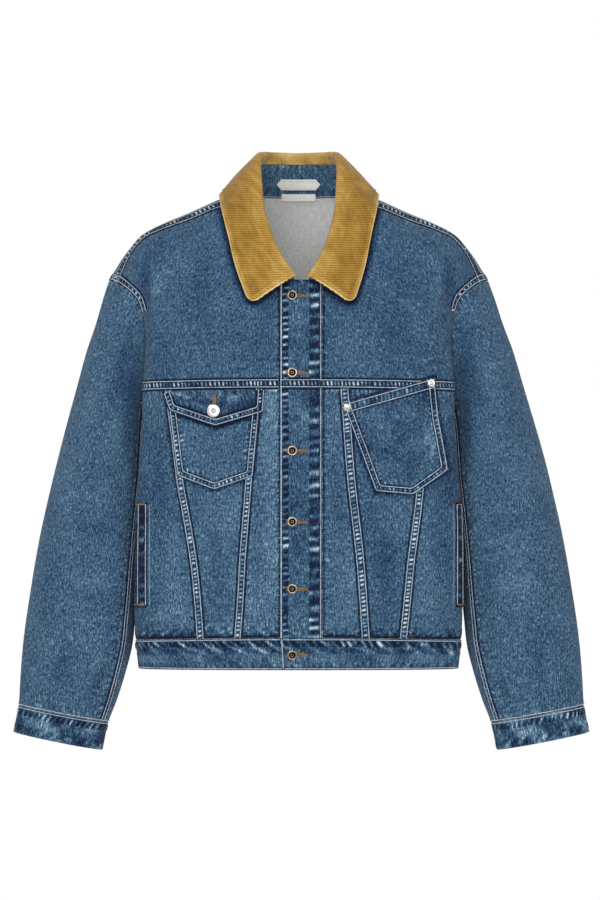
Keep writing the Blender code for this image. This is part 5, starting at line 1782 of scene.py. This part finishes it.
def clouded(sheet, size, strength, seed):
    """Worn and dark patches over a fine sheet."""
    across = sheet[..., ACROSS]
    along = sheet[..., ALONG]
    coarse_part = noise_plane(across, along, size, seed)
    fine_part = noise_plane(across, along, size * 0.45, seed + 1)
    sheet = sheet.copy()
    sheet[..., WEAR_AND_SHADE] += strength * (coarse_part + 0.6 * fine_part)
    return sheet


# The waistband, gathered by its rows of stitches.
band = clouded(level_grain(band), 14.0, 0.09, 25)
from_hem, from_top, _, _ = edge_distances(band)
around = band[..., ACROSS]
band = roped_edge(band, from_top, around, "band_top")
band = roped_edge(band, from_top, around, "band_wide")
band = roped_edge(band, from_hem, around, "band_hem")
band = stitched_groove(band, from_top, SEAM_ROW)
band = stitched_groove(band, from_hem, HEM_ROW)
wall("waistband", band, DOUBLED, CLOTH, WIDE_ABOVE)

# ---------------------------------------------------------------- the sleeves
LOOP_COLUMNS = left_sleeve_coarse.shape[1] - 1
CUFF_FINE_ROWS = 20
CUFF_FINE_COLUMNS = 9


def wrapped(sheet, side, first, last, steps, rows):
    """Columns of a closed sleeve from one construction column to another, wrapping round."""
    ring = sheet[rows, :-1] if side == "left" else sheet[rows, :0:-1]
    picked = [k % ring.shape[1] for k in range(first * steps, last * steps + 1)]
    part = ring[:, picked]
    if side == "right":
        part = part[:, ::-1]
    fresh = sheet_of(part[..., POINT], part[..., NORMAL], part.shape[1] // 2)
    fresh[..., WEAR_AND_SHADE:] = part[..., WEAR_AND_SHADE:]
    return fresh


FRONT_SLEEVE_SEAM = UNDER_SLEEVE_FROM + UNDER_SLEEVE_COLUMNS
ROUND_AGAIN = UNDER_SLEEVE_FROM + LOOP_COLUMNS
above_cuff = slice(SLEEVE_FINE_ROWS, None)
cuffs = {}
for which, side, whole in ((3, "left", sleeve_left), (4, "right", sleeve_right)):
    spans = (
        ("sleeve_under_", UNDER_SLEEVE_FROM, FRONT_SLEEVE_SEAM),
        ("sleeve_upper_", FRONT_SLEEVE_SEAM, ROUND_AGAIN),
    )
    for title, first, last in spans:
        part = wrapped(whole, side, first, last, SLEEVE_FINE_COLUMNS, above_cuff)
        wall(title + side, part, DENIM, CLOTH, WIDE_ABOVE)
    fine = fine_sheet(which, CUFF_FINE_ROWS, CUFF_FINE_COLUMNS, closed=True)
    cuff_rows = slice(0, CUFF_FINE_ROWS + 1)
    cuff = wrapped(fine, side, UNDER_SLEEVE_FROM, ROUND_AGAIN, CUFF_FINE_COLUMNS, cuff_rows)
    cuff = level_grain(cuff)
    from_end, from_seam, _, _ = edge_distances(cuff)
    around = cuff[..., ACROSS]
    cuff = clouded(cuff, 17.0, 0.3, 35 + which)
    cuff = roped_edge(cuff, from_seam, around, "cuff_seam", which)
    cuff = roped_edge(cuff, from_end, around, "cuff_end", which)
    cuff = stitched_groove(cuff, from_seam, SEAM_ROW)
    cuff = stitched_groove(cuff, from_end, HEM_ROW, 0.2, 0.9, 0.12)
    cuffs[side] = cuff
    wall("cuff_" + side, cuff, DOUBLED, CLOTH, WIDE_ABOVE)

# ---------------------------------------------------------------- felled seams
body_cloth = Draped(front, back)
FELL_STEPS = FINE_COLUMNS_BODY
YOKE_STRIP = Strip(0.3, 13.6, 1.0, 5.3, 1.2, -0.06)
SHOULDER_STRIP = Strip(-3.2, 17.0, 1.1, 6.2, 1.7, -0.26)
ARMHOLE_STRIP = Strip(0.3, 11.0, 0.9, 7.5, 1.1, -0.12)
ARMHOLE_SHOWN_FROM = -152.0  # lower down, the front of the sleeve rolls over the seam
SLEEVE_STRIPS = (Strip(-16.0, -6.5, 0.9, 6.5, 0.8, -0.06), Strip(0.3, 10.5, 0.9, 6.5, 0.8, -0.06))
# Each seam's column, how far it leans toward the pocket for each millimetre up, and its strip.
V_STRIPS = (
    (SIDE_COLUMNS, 0.031, Strip(-2.6, 9.2, 0.9, 5.6, 1.1, 0.13)),
    (SIDE_COLUMNS + MIDDLE_COLUMNS, -0.0143, Strip(-6.8, 4.3, 0.9, 5.6, 1.1, 0.13)),
    (RIGHT_EDGE + CENTRE_COLUMNS, 0.0, Strip(-5.2, 7.9, 0.9, 5.6, 1.1, 0.1)),
    (RIGHT_EDGE + CENTRE_COLUMNS + MIDDLE_COLUMNS, 0.0, Strip(-7.2, 5.2, 0.9, 5.6, 1.1, 0.1)),
)
V_LEAN_MOST = 8.2


def column_line(sheet, column, first_row=0, last_row=None):
    return sheet[first_row:last_row, column, POINT]


def sew_strip(line, cloth, strip, seed, rows=(1, 1), thread=PALE):
    for row, normals in lay_strip(SEAMS, line, cloth, strip, seed, rows):
        lay_stitches(thread, row, normals)


seed = 100
for column, lean, strip in V_STRIPS:
    seed += 7
    line = column_line(front, column * FELL_STEPS, 0, YOKE_ROW * FINE_ROWS + 1).copy()
    line[:, 0] += np.clip(lean * (line[:, 2] - line[0, 2]), -V_LEAN_MOST, V_LEAN_MOST)
    sew_strip(line, body_cloth, strip, seed)
yoke_row = YOKE_ROW * FINE_ROWS
for first, last in ((1, LEFT_EDGE * FELL_STEPS), (RIGHT_EDGE * FELL_STEPS, LAST_COLUMN * FELL_STEPS)):
    seed += 7
    sew_strip(front[yoke_row, first:last, POINT], body_cloth, YOKE_STRIP, seed)
shoulder_from = (RIGHT_EDGE + NECK_COLUMNS) * FELL_STEPS
left_shoulder = front[-1, shoulder_from:, POINT]
sew_strip(left_shoulder, body_cloth, SHOULDER_STRIP, 200)
right_shoulder = front[-1, :(LEFT_EDGE - NECK_COLUMNS) * FELL_STEPS + 1, POINT]
sew_strip(right_shoulder, body_cloth, SHOULDER_STRIP, 207)
underarm = UNDERARM_ROW * FINE_ROWS
shown = underarm + int(np.argmax(front[underarm:, -1, 2] > ARMHOLE_SHOWN_FROM))
left_armhole = np.concatenate([front[shown:, -1, POINT], back[underarm:, 0, POINT][::-1]])
sew_strip(left_armhole, body_cloth, ARMHOLE_STRIP, 214)
right_armhole = np.concatenate([back[underarm:, -1, POINT], front[shown:, 0, POINT][::-1]])
sew_strip(right_armhole, body_cloth, ARMHOLE_STRIP, 221)
for side, whole in (("left", sleeve_left), ("right", sleeve_right)):
    cloth = Draped(whole)
    ring = whole[:, :-1] if side == "left" else whole[:, :0:-1]
    for column, strip in zip((FRONT_SLEEVE_SEAM, UNDER_SLEEVE_FROM), SLEEVE_STRIPS):
        seed += 7
        line = ring[SLEEVE_FINE_ROWS + 1:, column * SLEEVE_FINE_COLUMNS, POINT]
        if side == "left":
            line = line[::-1]
        sew_strip(line, cloth, strip, seed)

# ---------------------------------------------------------------- rows of stitches
over_cloth = Draped(over)
band_cloth = Draped(band)
free_edge = column_line(over, 0, 0)
stitched_edge = column_line(over, -1, 0)
lay_stitches(PALE, *offset_row(free_edge[::-1], over_cloth, FREE_ROW), radius=1.05, lift=0.1)
lay_stitches(PALE, *offset_row(stitched_edge, over_cloth, STITCHED_ROW), lift=SEWN_LIFT)
sew_strip(over[YOKE_ROW * PLACKET_FINE_ROWS, :, POINT], over_cloth, YOKE_STRIP, 150)
shown_side = band[1:-1, 1]
lay_stitches(PALE, shown_side[:, POINT] + shown_side[:, NORMAL] * 0.3, shown_side[:, NORMAL], radius=0.95)
top_edge_line = band[-1, 2:-2, POINT]
hem_line = band[0, 2:-2, POINT]
lay_stitches(PALE, *offset_row(top_edge_line[::-1], band_cloth, SEAM_ROW), lift=SEWN_LIFT)
lay_stitches(PALE, *offset_row(hem_line, band_cloth, HEM_ROW), lift=SEWN_LIFT)
for side, cuff in cuffs.items():
    cloth = Draped(cuff)
    lay_stitches(PALE, *offset_row(cuff[-1, ::-1, POINT], cloth, SEAM_ROW), lift=SEWN_LIFT)
    sleeve_cloth = Draped(sleeve_left if side == "left" else sleeve_right)
    lay_stitches(PALE, *offset_row(cuff[-1, :, POINT], sleeve_cloth, SLEEVE_ROW), lift=SEWN_LIFT)


# ---------------------------------------------------------------- pockets and flap
def inset(line, distance):
    """A bent line moved to its left by a distance, its corners mitred."""
    line = np.asarray(line, float)
    ahead = unit_rows(np.diff(line, axis=0))
    left = np.stack([-ahead[:, 1], ahead[:, 0]], -1)
    moved = [line[0] + left[0] * distance]
    for before, after, corner in zip(left, left[1:], line[1:-1]):
        middle = unit_rows(before + after)
        moved.append(corner + middle * distance / middle.dot(before))
    moved.append(line[-1] + left[-1] * distance)
    return np.array(moved)


def stretched_fine(lines, rows, columns):
    """A grid between four bent lines: lower and upper, and its left and right sides."""
    low, high, left, right = (np.array(line, float) for line in lines)
    u = np.linspace(0, 1, columns + 1)
    v = np.linspace(0, 1, rows + 1)
    lower_line = even_at(low, u)[None]
    upper_line = even_at(high, u)[None]
    left_line = even_at(left, v)[:, None]
    right_line = even_at(right, v)[:, None]
    u = u[None, :, None]
    v = v[:, None, None]
    below = (1 - u) * low[0] + u * low[-1]
    above = (1 - u) * high[0] + u * high[-1]
    corners = (1 - v) * below + v * above
    return (1 - v) * lower_line + v * upper_line + (1 - u) * left_line + u * right_line - corners


def even_at(line, shares):
    """The points at shares of a flat line's length."""
    runs = runs_along(line)
    return np.stack([np.interp(shares * runs[-1], runs, line[:, k]) for k in range(2)], -1)


def laid_sheet(flat, cloth, lift):
    """A flat grid laid on the cloth from the front, with its normals evened out."""
    places, normals = cloth.from_front(flat)
    for _ in range(2):
        padded = np.pad(normals, ((1, 1), (1, 1), (0, 0)), mode="edge")
        beside = padded[:-2, 1:-1] + padded[2:, 1:-1] + padded[1:-1, :-2] + padded[1:-1, 2:]
        normals = unit_rows(beside + normals)
    return sheet_of(places + normals * lift, normals)


HEM_PITCH = 5.6
HEM_HEIGHT = 0.6
FIRST_ROW = 1.6  # how far inside a patch's border its first row of stitches lies
STREAK_PITCH = 6.3
STREAK_SLANT = 0.25
STREAK_LEVEL = 0.25
STREAK_HEIGHT = 0.35
STREAK_FROM = 1.5  # how far inside the strip the streaks start
STREAK_REACH = (7.0, 3.0, 9.0)  # how far they reach, how much that varies, and over what length


def hemmed(sheet, flat, line, width, seed, worn, streaks):
    """A strip of doubled cloth along a patch's border, with worn streaks inside it."""
    distance, place = from_line(flat, line)
    inside = band_of(distance, 1.0, width)
    pulse = roping(place, distance, HEM_PITCH, STRIP_SLANT, seed)
    rows_of_stitches = sum(bell(distance - row, 1.5) for row in (FIRST_ROW, width - 1))
    relief = inside * HEM_HEIGHT * (0.55 + 0.6 * pulse)
    between = 1 - bell(distance - FIRST_ROW, 1.4) - bell(distance - width + 1, 1.4)
    outside = bell(distance - width - 0.9, 0.9)
    # Painted shadow just outside the hem, and painted shade along its rows of stitches.
    wear_and_shade = inside * worn * (1.1 * pulse * between - 0.3) - 0.25 * outside - 0.16 * rows_of_stitches
    middle, variation, period = STREAK_REACH
    reach = middle + variation * noise_line(place, period, seed + 7)
    streak = roping(place, distance, STREAK_PITCH, STREAK_SLANT, seed + 9)
    fading = np.clip(1 - (distance - width - STREAK_FROM) / reach, 0, 1) * (distance > width + STREAK_FROM)
    wear_and_shade += streaks * (streak - STREAK_LEVEL) * fading
    return relieved(sheet, relief + STREAK_HEIGHT * streak * fading, wear_and_shade)


def row_on(line, distance, cloth):
    """A row of stitches on the cloth, inside a bent line seen from the front."""
    flat, _ = even_line(inset(line, distance), STITCH_PITCH)
    places, normals = cloth.from_front(flat)
    lay_stitches(PALE, places + normals * ROW_LIFT, normals)


SECOND_ROW = 8.0
ROW_LIFT = 0.3
TOP_ROWS = (2.2, 12.2)  # below the tilted pocket's opening
# Reach, darkness and depth of the painted shadow that the flap casts on the pocket.
FLAP_SHADE = (4.0, 0.8, 0.4)
# Pale creases of the flap: from and to (across, height), half width, strength.
FLAP_CREASES = (
    (-172, -256, -140, -265, 1.6, 0.3),
    (-138, -271, -121, -279, 2.2, 0.28),
    (-105, -266, -99, -256, 1.8, 0.32),
    (-91, -268, -77, -262, 4.0, 0.2),
    (-160, -263, -152, -251, 3.0, 0.12),
)
# Places of the tilted pocket: across, height, half width and half height.
TILTED_WORN = (172, -322, 9, 28)
TILTED_DARK = (174, -266, 20, 24)
patches = {}
pocket_around = POCKET_RIGHT_SIDE[::-1] + POCKET_BOTTOM[1:] + POCKET_LEFT_SIDE[1:]
flat = stretched_fine((POCKET_BOTTOM, POCKET_TOP, POCKET_RIGHT_SIDE, POCKET_LEFT_SIDE), 84, 80)
front_cloth = Draped(front)
pocket = laid_sheet(flat, front_cloth, POCKET_LIFT + DENIM)
pocket = hemmed(pocket, flat, pocket_around, 9.0, 301, worn=1.0, streaks=0.6)
# A painted shadow under the flap's lower edge.
pocket = painted_shadow_beside(pocket, FLAP_BOTTOM, *FLAP_SHADE)
patches["chest_pocket"] = (pocket, pocket_around)

flap_sides = [(FLAP_BOTTOM[i], FLAP_TOP[i]) for i in (0, -1)]
flat = stretched_fine((FLAP_BOTTOM, FLAP_TOP, *flap_sides), 34, 90)
flap = laid_sheet(flat, front_cloth, FLAP_LIFT + DENIM)
flap_around = (FLAP_TOP[0],) + FLAP_BOTTOM + (FLAP_TOP[-1],)
flap = hemmed(flap, flat, flap_around, 10.5, 302, worn=0.9, streaks=0.2)
flap[..., WEAR_AND_SHADE] -= 0.13
for *ends, half_width, strength in FLAP_CREASES:
    distance, _ = from_line(flat, (ends[:2], ends[2:]))
    flap[..., WEAR_AND_SHADE] += strength * bell(distance, half_width)
flap = clouded(flap, 13.0, 0.1, 311)
patches["chest_flap"] = (flap, flap_around)

tilted_around = TILTED_OUTER_SIDE[::-1] + TILTED_BOTTOM[::-1][1:] + TILTED_INNER_SIDE[1:]
flat = stretched_fine((TILTED_BOTTOM, TILTED_TOP, TILTED_INNER_SIDE, TILTED_OUTER_SIDE), 84, 84)
tilted = laid_sheet(flat, front_cloth, POCKET_LIFT + DENIM)
tilted = hemmed(tilted, flat, tilted_around[::-1], 9.0, 303, worn=0.75, streaks=0.4)
tilted = hemmed(tilted, flat, TILTED_TOP, 13.0, 304, worn=0.6, streaks=0.3)
tilted[..., WEAR_AND_SHADE] -= 0.07
tilted = clouded(tilted, 19.0, 0.07, 312)
uneven = noise_plane(flat[..., 0], flat[..., 1] / 3, 5.0, 313)
tilted[..., WEAR_AND_SHADE] += (0.28 + 0.2 * uneven) * spread_round(flat, TILTED_WORN)
tilted[..., WEAR_AND_SHADE] -= 0.12 * spread_round(flat, TILTED_DARK)
patches["tilted_pocket"] = (tilted, tilted_around[::-1])

for name, (part, border) in patches.items():
    wall(name, part, DENIM, CLOTH, NO_GAPS)
    cloth = Draped(part)
    for distance in (FIRST_ROW, SECOND_ROW):
        row_on(border, distance, cloth)
cloth = Draped(tilted)
for distance in TOP_ROWS:
    row_on(TILTED_TOP[::-1], distance, cloth)


# ---------------------------------------------------------------- welts of the side pockets
def welt_sheet(side, cloth):
    rows = []
    for height in np.linspace(WELT_BOTTOM, WELT_TOP, 84):
        first = abs(lower_angle(-1, WELT_INNER[side], height))
        fine = np.linspace(first, 90, SEARCH_STEPS)
        distances = runs_along(lower(-1, side * fine, height))
        angles = np.interp(np.linspace(0, WELT_WIDTH, 18), distances, fine)
        if side < 0:
            angles = angles[::-1]
        rows.append(lower(-1, side * angles, height))
    places, normals = cloth.near(np.array(rows))
    return sheet_of(places + normals * (WELT_LIFT + WELT_THICKNESS), normals)


WELT_EDGE_ROW = 1.5
WELT_ROW = 15.5
for side, name in ((1, "welt_left"), (-1, "welt_right")):
    part = welt_sheet(side, body_cloth)
    low, high, left, right = edge_distances(part)
    opening = left if side > 0 else right
    part = roped_edge(part, opening, part[..., ALONG], "welt", side)
    for place in (WELT_EDGE_ROW, WELT_ROW):
        part = stitched_groove(part, opening, place)
    pulse = noise_plane(part[..., ACROSS], part[..., ALONG], 9.0, 405 + side)
    part[..., WEAR_AND_SHADE] += -0.3 + 0.2 * pulse
    wall(name, part, WELT_THICKNESS, CLOTH, NO_GAPS)
    cloth = Draped(part)
    inner_edge = column_line(part, 0 if side > 0 else -1, 2, -2)
    way = inner_edge[::-1] if side > 0 else inner_edge
    for offset in (WELT_EDGE_ROW, WELT_ROW):
        lay_stitches(PALE, *offset_row(way, cloth, offset), lift=SEWN_LIFT)
    lay_stitches(PALE, *offset_row(way, body_cloth, -3.2), length=2.2, radius=0.5, lift=0.1)
    for end in (part[2, 2:-2, POINT], part[-3, 2:-2, POINT]):
        line, _ = even_line(end, 1.0)
        on, on_normals = cloth.near(line)
        lay_stitches(TAN, on, on_normals, 2.2, 2.2, 0.8, 0.3)


# ---------------------------------------------------------------- buttonholes
BAR_PITCH = 0.95
SLIT_HALF_WIDTH = 0.45


def lay_bars(bundle, starts, ends, normals, radius):
    for start, end, normal in zip(starts, ends, normals):
        line = np.stack([start, end])
        length = np.linalg.norm(end - start)
        lay_stitches(bundle, line, np.stack([normal, normal]), length, length, radius, 0.1)


def buttonhole(cloth, start, end, half_width, taper):
    """Thread bars on both sides of a slit, from start to end as (across, height)."""
    start = np.array(start, float)
    end = np.array(end, float)
    length = np.hypot(*(end - start))
    ahead = (end - start) / length
    aside = np.array([-ahead[1], ahead[0]])
    count = int(length / BAR_PITCH)
    share = (np.arange(count) + 0.5)[:, None] / count
    middle = start + (end - start) * share
    wide = half_width * (1 - taper * share)
    for side in (-1, 1):
        near_slit, normals = cloth.from_front(middle + aside * side * SLIT_HALF_WIDTH)
        far_from_slit, _ = cloth.from_front(middle + aside * side * wide)
        lift = normals * 0.35
        lay_bars(TAN, near_slit + lift, far_from_slit + lift, normals, 0.55)
    # Dark bars along the slit are a painted shadow in the cut.
    slit, normals = cloth.from_front(middle)
    lay_bars(SLIT_SHADOW, slit[:-1] + normals[:-1] * 0.2, slit[1:] + normals[1:] * 0.2, normals[:-1], 0.5)


HOLE_END = 12.5
HOLE_START = -16.0
HOLE_HALF_WIDTH = 2.6
HOLE_TAPER = 0.55
for height in BUTTON_HEIGHTS[:-1]:
    buttonhole(over_cloth, (HOLE_START, height), (HOLE_END, height - 0.8), HOLE_HALF_WIDTH, HOLE_TAPER)
shown_end = Draped(band[:, :(PLACKET_COLUMNS + 2) * BAND_FINE_COLUMNS])
lowest = BUTTON_HEIGHTS[-1]
buttonhole(shown_end, (HOLE_START, lowest), (HOLE_END, lowest), HOLE_HALF_WIDTH, HOLE_TAPER)
flap_cloth = Draped(flap)
buttonhole(flap_cloth, (FLAP_BUTTON[0] + 1, -286), (FLAP_BUTTON[0] + 1, -260), 2.4, 0.3)


# ---------------------------------------------------------------- buttons and rivets
ROUND_SIDES = 48
# Profiles from the back to the middle of the front: share of the radius, distance out in mm.
RING_BUTTON = (
    (0.5, 0.0), (0.9, 0.6), (1.0, 1.5), (1.0, 2.4), (0.95, 3.1), (0.86, 3.5), (0.74, 3.6), (0.64, 3.3),
    (0.58, 2.8), (0.55, 1.6), (0.5, 1.2), (0.36, 1.2), (0.32, 1.5), (0.3, 2.4), (0.26, 2.8),
    (0.2, 2.8), (0.17, 2.4), (0.15, 1.2), (0.0, 1.2),
)
RIVET_DOME = (
    (0.9, 0.0), (0.98, 0.3), (1.0, 0.8), (0.94, 1.15), (0.8, 1.3), (0.7, 1.25), (0.6, 1.3), (0.45, 1.75),
    (0.25, 2.1), (0.0, 2.2),
)


def turned_piece(name, profile, radius, hit, materials, dark_within, dark_tip):
    """A turned piece seated on the cloth that a front view hits.

    Its second material fills what lies within a share of its radius, and its middle.
    """
    places, normals = hit
    place = places[0] + normals[0] * SEAT
    axis = normals[0]
    axis = Vector(axis).normalized()
    turn_to = axis.to_track_quat("Z", "Y")
    points = []
    for share, out in profile:
        for k in range(ROUND_SIDES):
            swing = math.tau * k / ROUND_SIDES
            reach = max(share, 0.001) * radius
            local = Vector((reach * math.cos(swing), reach * math.sin(swing), out))
            points.append(np.array(turn_to @ local) + place)
    faces = []
    slots = []
    for ring in range(len(profile) - 1):
        first = ring * ROUND_SIDES
        inner = ring > 1 and 0.2 < profile[ring][0] < dark_within and profile[ring][1] < 2
        for k in range(ROUND_SIDES):
            after = (k + 1) % ROUND_SIDES
            faces.append([first + k, first + after, first + ROUND_SIDES + after, first + ROUND_SIDES + k])
            slots.append(int(inner or profile[ring][0] <= dark_tip))
    last = (len(profile) - 1) * ROUND_SIDES
    faces.append(list(range(ROUND_SIDES))[::-1])
    faces.append([last + k for k in range(ROUND_SIDES)])
    slots += [0, int(dark_tip > 0)]
    piece = make_piece(name + "_round", points, faces, materials, slots=slots)
    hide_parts(name)
    return piece


for number, height in enumerate(BUTTON_HEIGHTS):
    cloth = shown_end if height == BUTTON_HEIGHTS[-1] else over_cloth
    hit = cloth.from_front([(BUTTON_ACROSS, height)])
    name = f"button_{number + 1}"
    finishes = (METAL_AGED, METAL_DARK)
    turned_piece(name, RING_BUTTON, BUTTON_RADIUS, hit, finishes, 0.6, 0.17)
FLAP_DISC = (
    (0.5, 0.0), (0.92, 0.6), (1.0, 1.4), (1.0, 2.2), (0.93, 2.8), (0.8, 3.05), (0.5, 3.1), (0.38, 3.2),
    (0.33, 2.9), (0.3, 1.6), (0.2, 1.6), (0.18, 2.6), (0.12, 2.9), (0.0, 2.9),
)
hit = flap_cloth.from_front([FLAP_BUTTON])
finishes = (METAL_BRIGHT, METAL_DARK)
turned_piece("flap_button", FLAP_DISC, FLAP_BUTTON_RADIUS, hit, finishes, 0.34, 0.0)
tilted_cloth = Draped(tilted)
for number, spot in enumerate(RIVETS):
    hit = tilted_cloth.from_front([spot])
    name = f"rivet_{number + 1}"
    turned_piece(name, RIVET_DOME, RIVET_RADIUS, hit, (METAL_BRIGHT,), 0.0, 0.0)

# ---------------------------------------------------------------- the two bare labels
stand_lining = stand[:, ::-1].copy()
stand_lining[..., POINT] -= stand_lining[..., NORMAL] * DENIM
stand_lining[..., NORMAL] *= -1
stand_cloth = Draped(stand_lining)


def label_sheet(flat, hangs_from=None):
    """A label inside the neck. hangs_from: the height down from which it hangs straight."""
    on_stand = flat.copy()
    if hangs_from is not None:
        on_stand[..., 1] = hangs_from
    places, normals = stand_cloth.from_front(on_stand, 0)
    if hangs_from is not None:
        places[..., 2] = flat[..., 1]
    return sheet_of(places + normals * (LABEL_LIFT + LABEL_THICKNESS), normals)


LABEL_TIP_TAPER = 0.93
LABEL_COLUMNS = 71
LABEL_ROWS = 19
RIM = (0.9, 0.8)  # how far inside the neck label's border its raised rim lies, and how wide
RIM_HEIGHT = 0.22
LINE = (3.0, 0.45)  # the same of the fine line inside it
LINE_HEIGHT = 0.1
RIB_HEIGHT = 0.05
RIB_PITCH = 1.1
CURL = (0.5, 9.0, 8.0)  # the care label's wave: its height, its length, and how soon it starts
HEM_OF_LABEL = (1.2, 0.6, 0.12)  # its pressed hem: how far inside, how wide and how high
half_width, half_height, middle = NECK_LABEL
across = np.linspace(-half_width, half_width, LABEL_COLUMNS)
narrowing = np.clip((np.abs(across) - (half_width - NECK_LABEL_POINT)) / NECK_LABEL_POINT, 0, 1)
half = half_height * (1 - LABEL_TIP_TAPER * narrowing)
up = np.linspace(-1, 1, LABEL_ROWS)[:, None]
flat = np.stack([np.broadcast_to(across, (LABEL_ROWS, LABEL_COLUMNS)), middle + up * half], -1)
plate = label_sheet(flat)
border = np.min(edge_distances(plate), axis=0)
rim = RIM_HEIGHT * bell(border - RIM[0], RIM[1])
line = LINE_HEIGHT * bell(border - LINE[0], LINE[1])
plate = relieved(plate, rim + line + RIB_HEIGHT * np.cos(plate[..., ALONG] * math.tau / RIB_PITCH))
woven = (LABEL_WOVEN, LABEL_WOVEN)
wall("neck_label", plate, LABEL_THICKNESS, woven, NO_GAPS)

half_width, top, bottom = CARE_LABEL
across = np.linspace(-half_width, half_width, 61)
heights = np.linspace(bottom, top, 15)
flat = np.stack(np.broadcast_arrays(across[None], heights[:, None]), -1)
tag = label_sheet(flat, top)
low, high, first, last = edge_distances(tag)
border = np.minimum(first, last)
wave, length, fade = CURL
place, wide, raised = HEM_OF_LABEL
curl = wave * np.sin(tag[..., ACROSS] / length) * np.clip(high / fade, 0, 1)
tag = relieved(tag, curl + raised * bell(border - place, wide))
wall("care_label", tag, LABEL_THICKNESS, woven, NO_GAPS)
neck_line = stand_lining[0, :, POINT]
lay_stitches(PALE, *offset_row(neck_line, stand_cloth, 2.0), lift=SEWN_LIFT)
for row in (3, -4):
    label_line = plate[row, 4:-4, POINT]
    lay_stitches(PALE, label_line, plate[row, 4:-4, NORMAL], 2.2, 1.6, 0.3, 0.2)

PALE.piece("stitches_pale", THREAD_PALE)
TAN.piece("stitches_tan", THREAD_TAN)
SLIT_SHADOW.piece("buttonhole_slit_shadows", SLIT_SHADOW_FINISH)
SEAMS.piece("felled_seams", DENIM_FINISH, "denim")


# ---------------------------------------------------------------- camera, light and floor
CAMERA_DISTANCE = 6.0
CAMERA_ACROSS = 0.002
CAMERA_HEIGHT = -0.3333
LENS = 180
FLOOR_HEIGHT = -0.975
FLOOR_RADIUS = 0.3
AMBIENT = 0.6


def stage_and_light():
    mesh = bpy.data.meshes.new("floor")
    around = [math.tau * k / 64 for k in range(64)]
    ring = [(FLOOR_RADIUS * math.cos(a), FLOOR_RADIUS * math.sin(a), 0) for a in around]
    mesh.from_pydata(ring, [], [list(range(64))])
    floor = bpy.data.objects.new("floor", mesh)
    floor.location = (0, 0, FLOOR_HEIGHT)
    bpy.context.scene.collection.objects.link(floor)
    mesh.materials.append(plain_finish("floor_pale", (250, 250, 250), (255, 255, 255), 0.9, size=40))
    world = bpy.data.worlds.new("studio")
    world.use_nodes = True
    bpy.context.scene.world = world
    nodes = world.node_tree.nodes
    sky = nodes["Background"]
    sky.inputs["Color"].default_value = (1, 1, 1, 1)
    seen = nodes.new("ShaderNodeLightPath").outputs["Is Camera Ray"]
    strength = nodes.new("ShaderNodeMath")
    strength.operation = "MULTIPLY_ADD"
    strength.inputs[1].default_value = 1 - AMBIENT
    strength.inputs[2].default_value = AMBIENT
    world.node_tree.links.new(seen, strength.inputs[0])
    world.node_tree.links.new(strength.outputs[0], sky.inputs["Strength"])
    lights = (
        ("front", (-0.3, -3.6, 0.1), 2.0, 43),
        ("key", (-2.2, -2.2, 1.9), 1.4, 26),
        ("fill", (2.2, -2.4, 0.3), 1.6, 14),
    )
    for name, place, size, power in lights:
        light = bpy.data.lights.new(name, "AREA")
        light.shape = "DISK"
        light.size = size
        light.energy = power
        lamp = bpy.data.objects.new(name, light)
        lamp.location = place
        aim = Vector((0, 0, CAMERA_HEIGHT)) - Vector(place)
        lamp.rotation_euler = aim.to_track_quat("-Z", "Y").to_euler()
        bpy.context.scene.collection.objects.link(lamp)


def add_camera():
    lens = bpy.data.cameras.new("camera")
    lens.lens = LENS
    lens.sensor_width = 36
    camera = bpy.data.objects.new("camera", lens)
    camera.location = (CAMERA_ACROSS, -CAMERA_DISTANCE, CAMERA_HEIGHT)
    camera.rotation_euler = (math.radians(90), 0, 0)
    bpy.context.scene.collection.objects.link(camera)
    bpy.context.scene.camera = camera
    bpy.context.scene.view_settings.view_transform = "Standard"


stage_and_light()
add_camera()
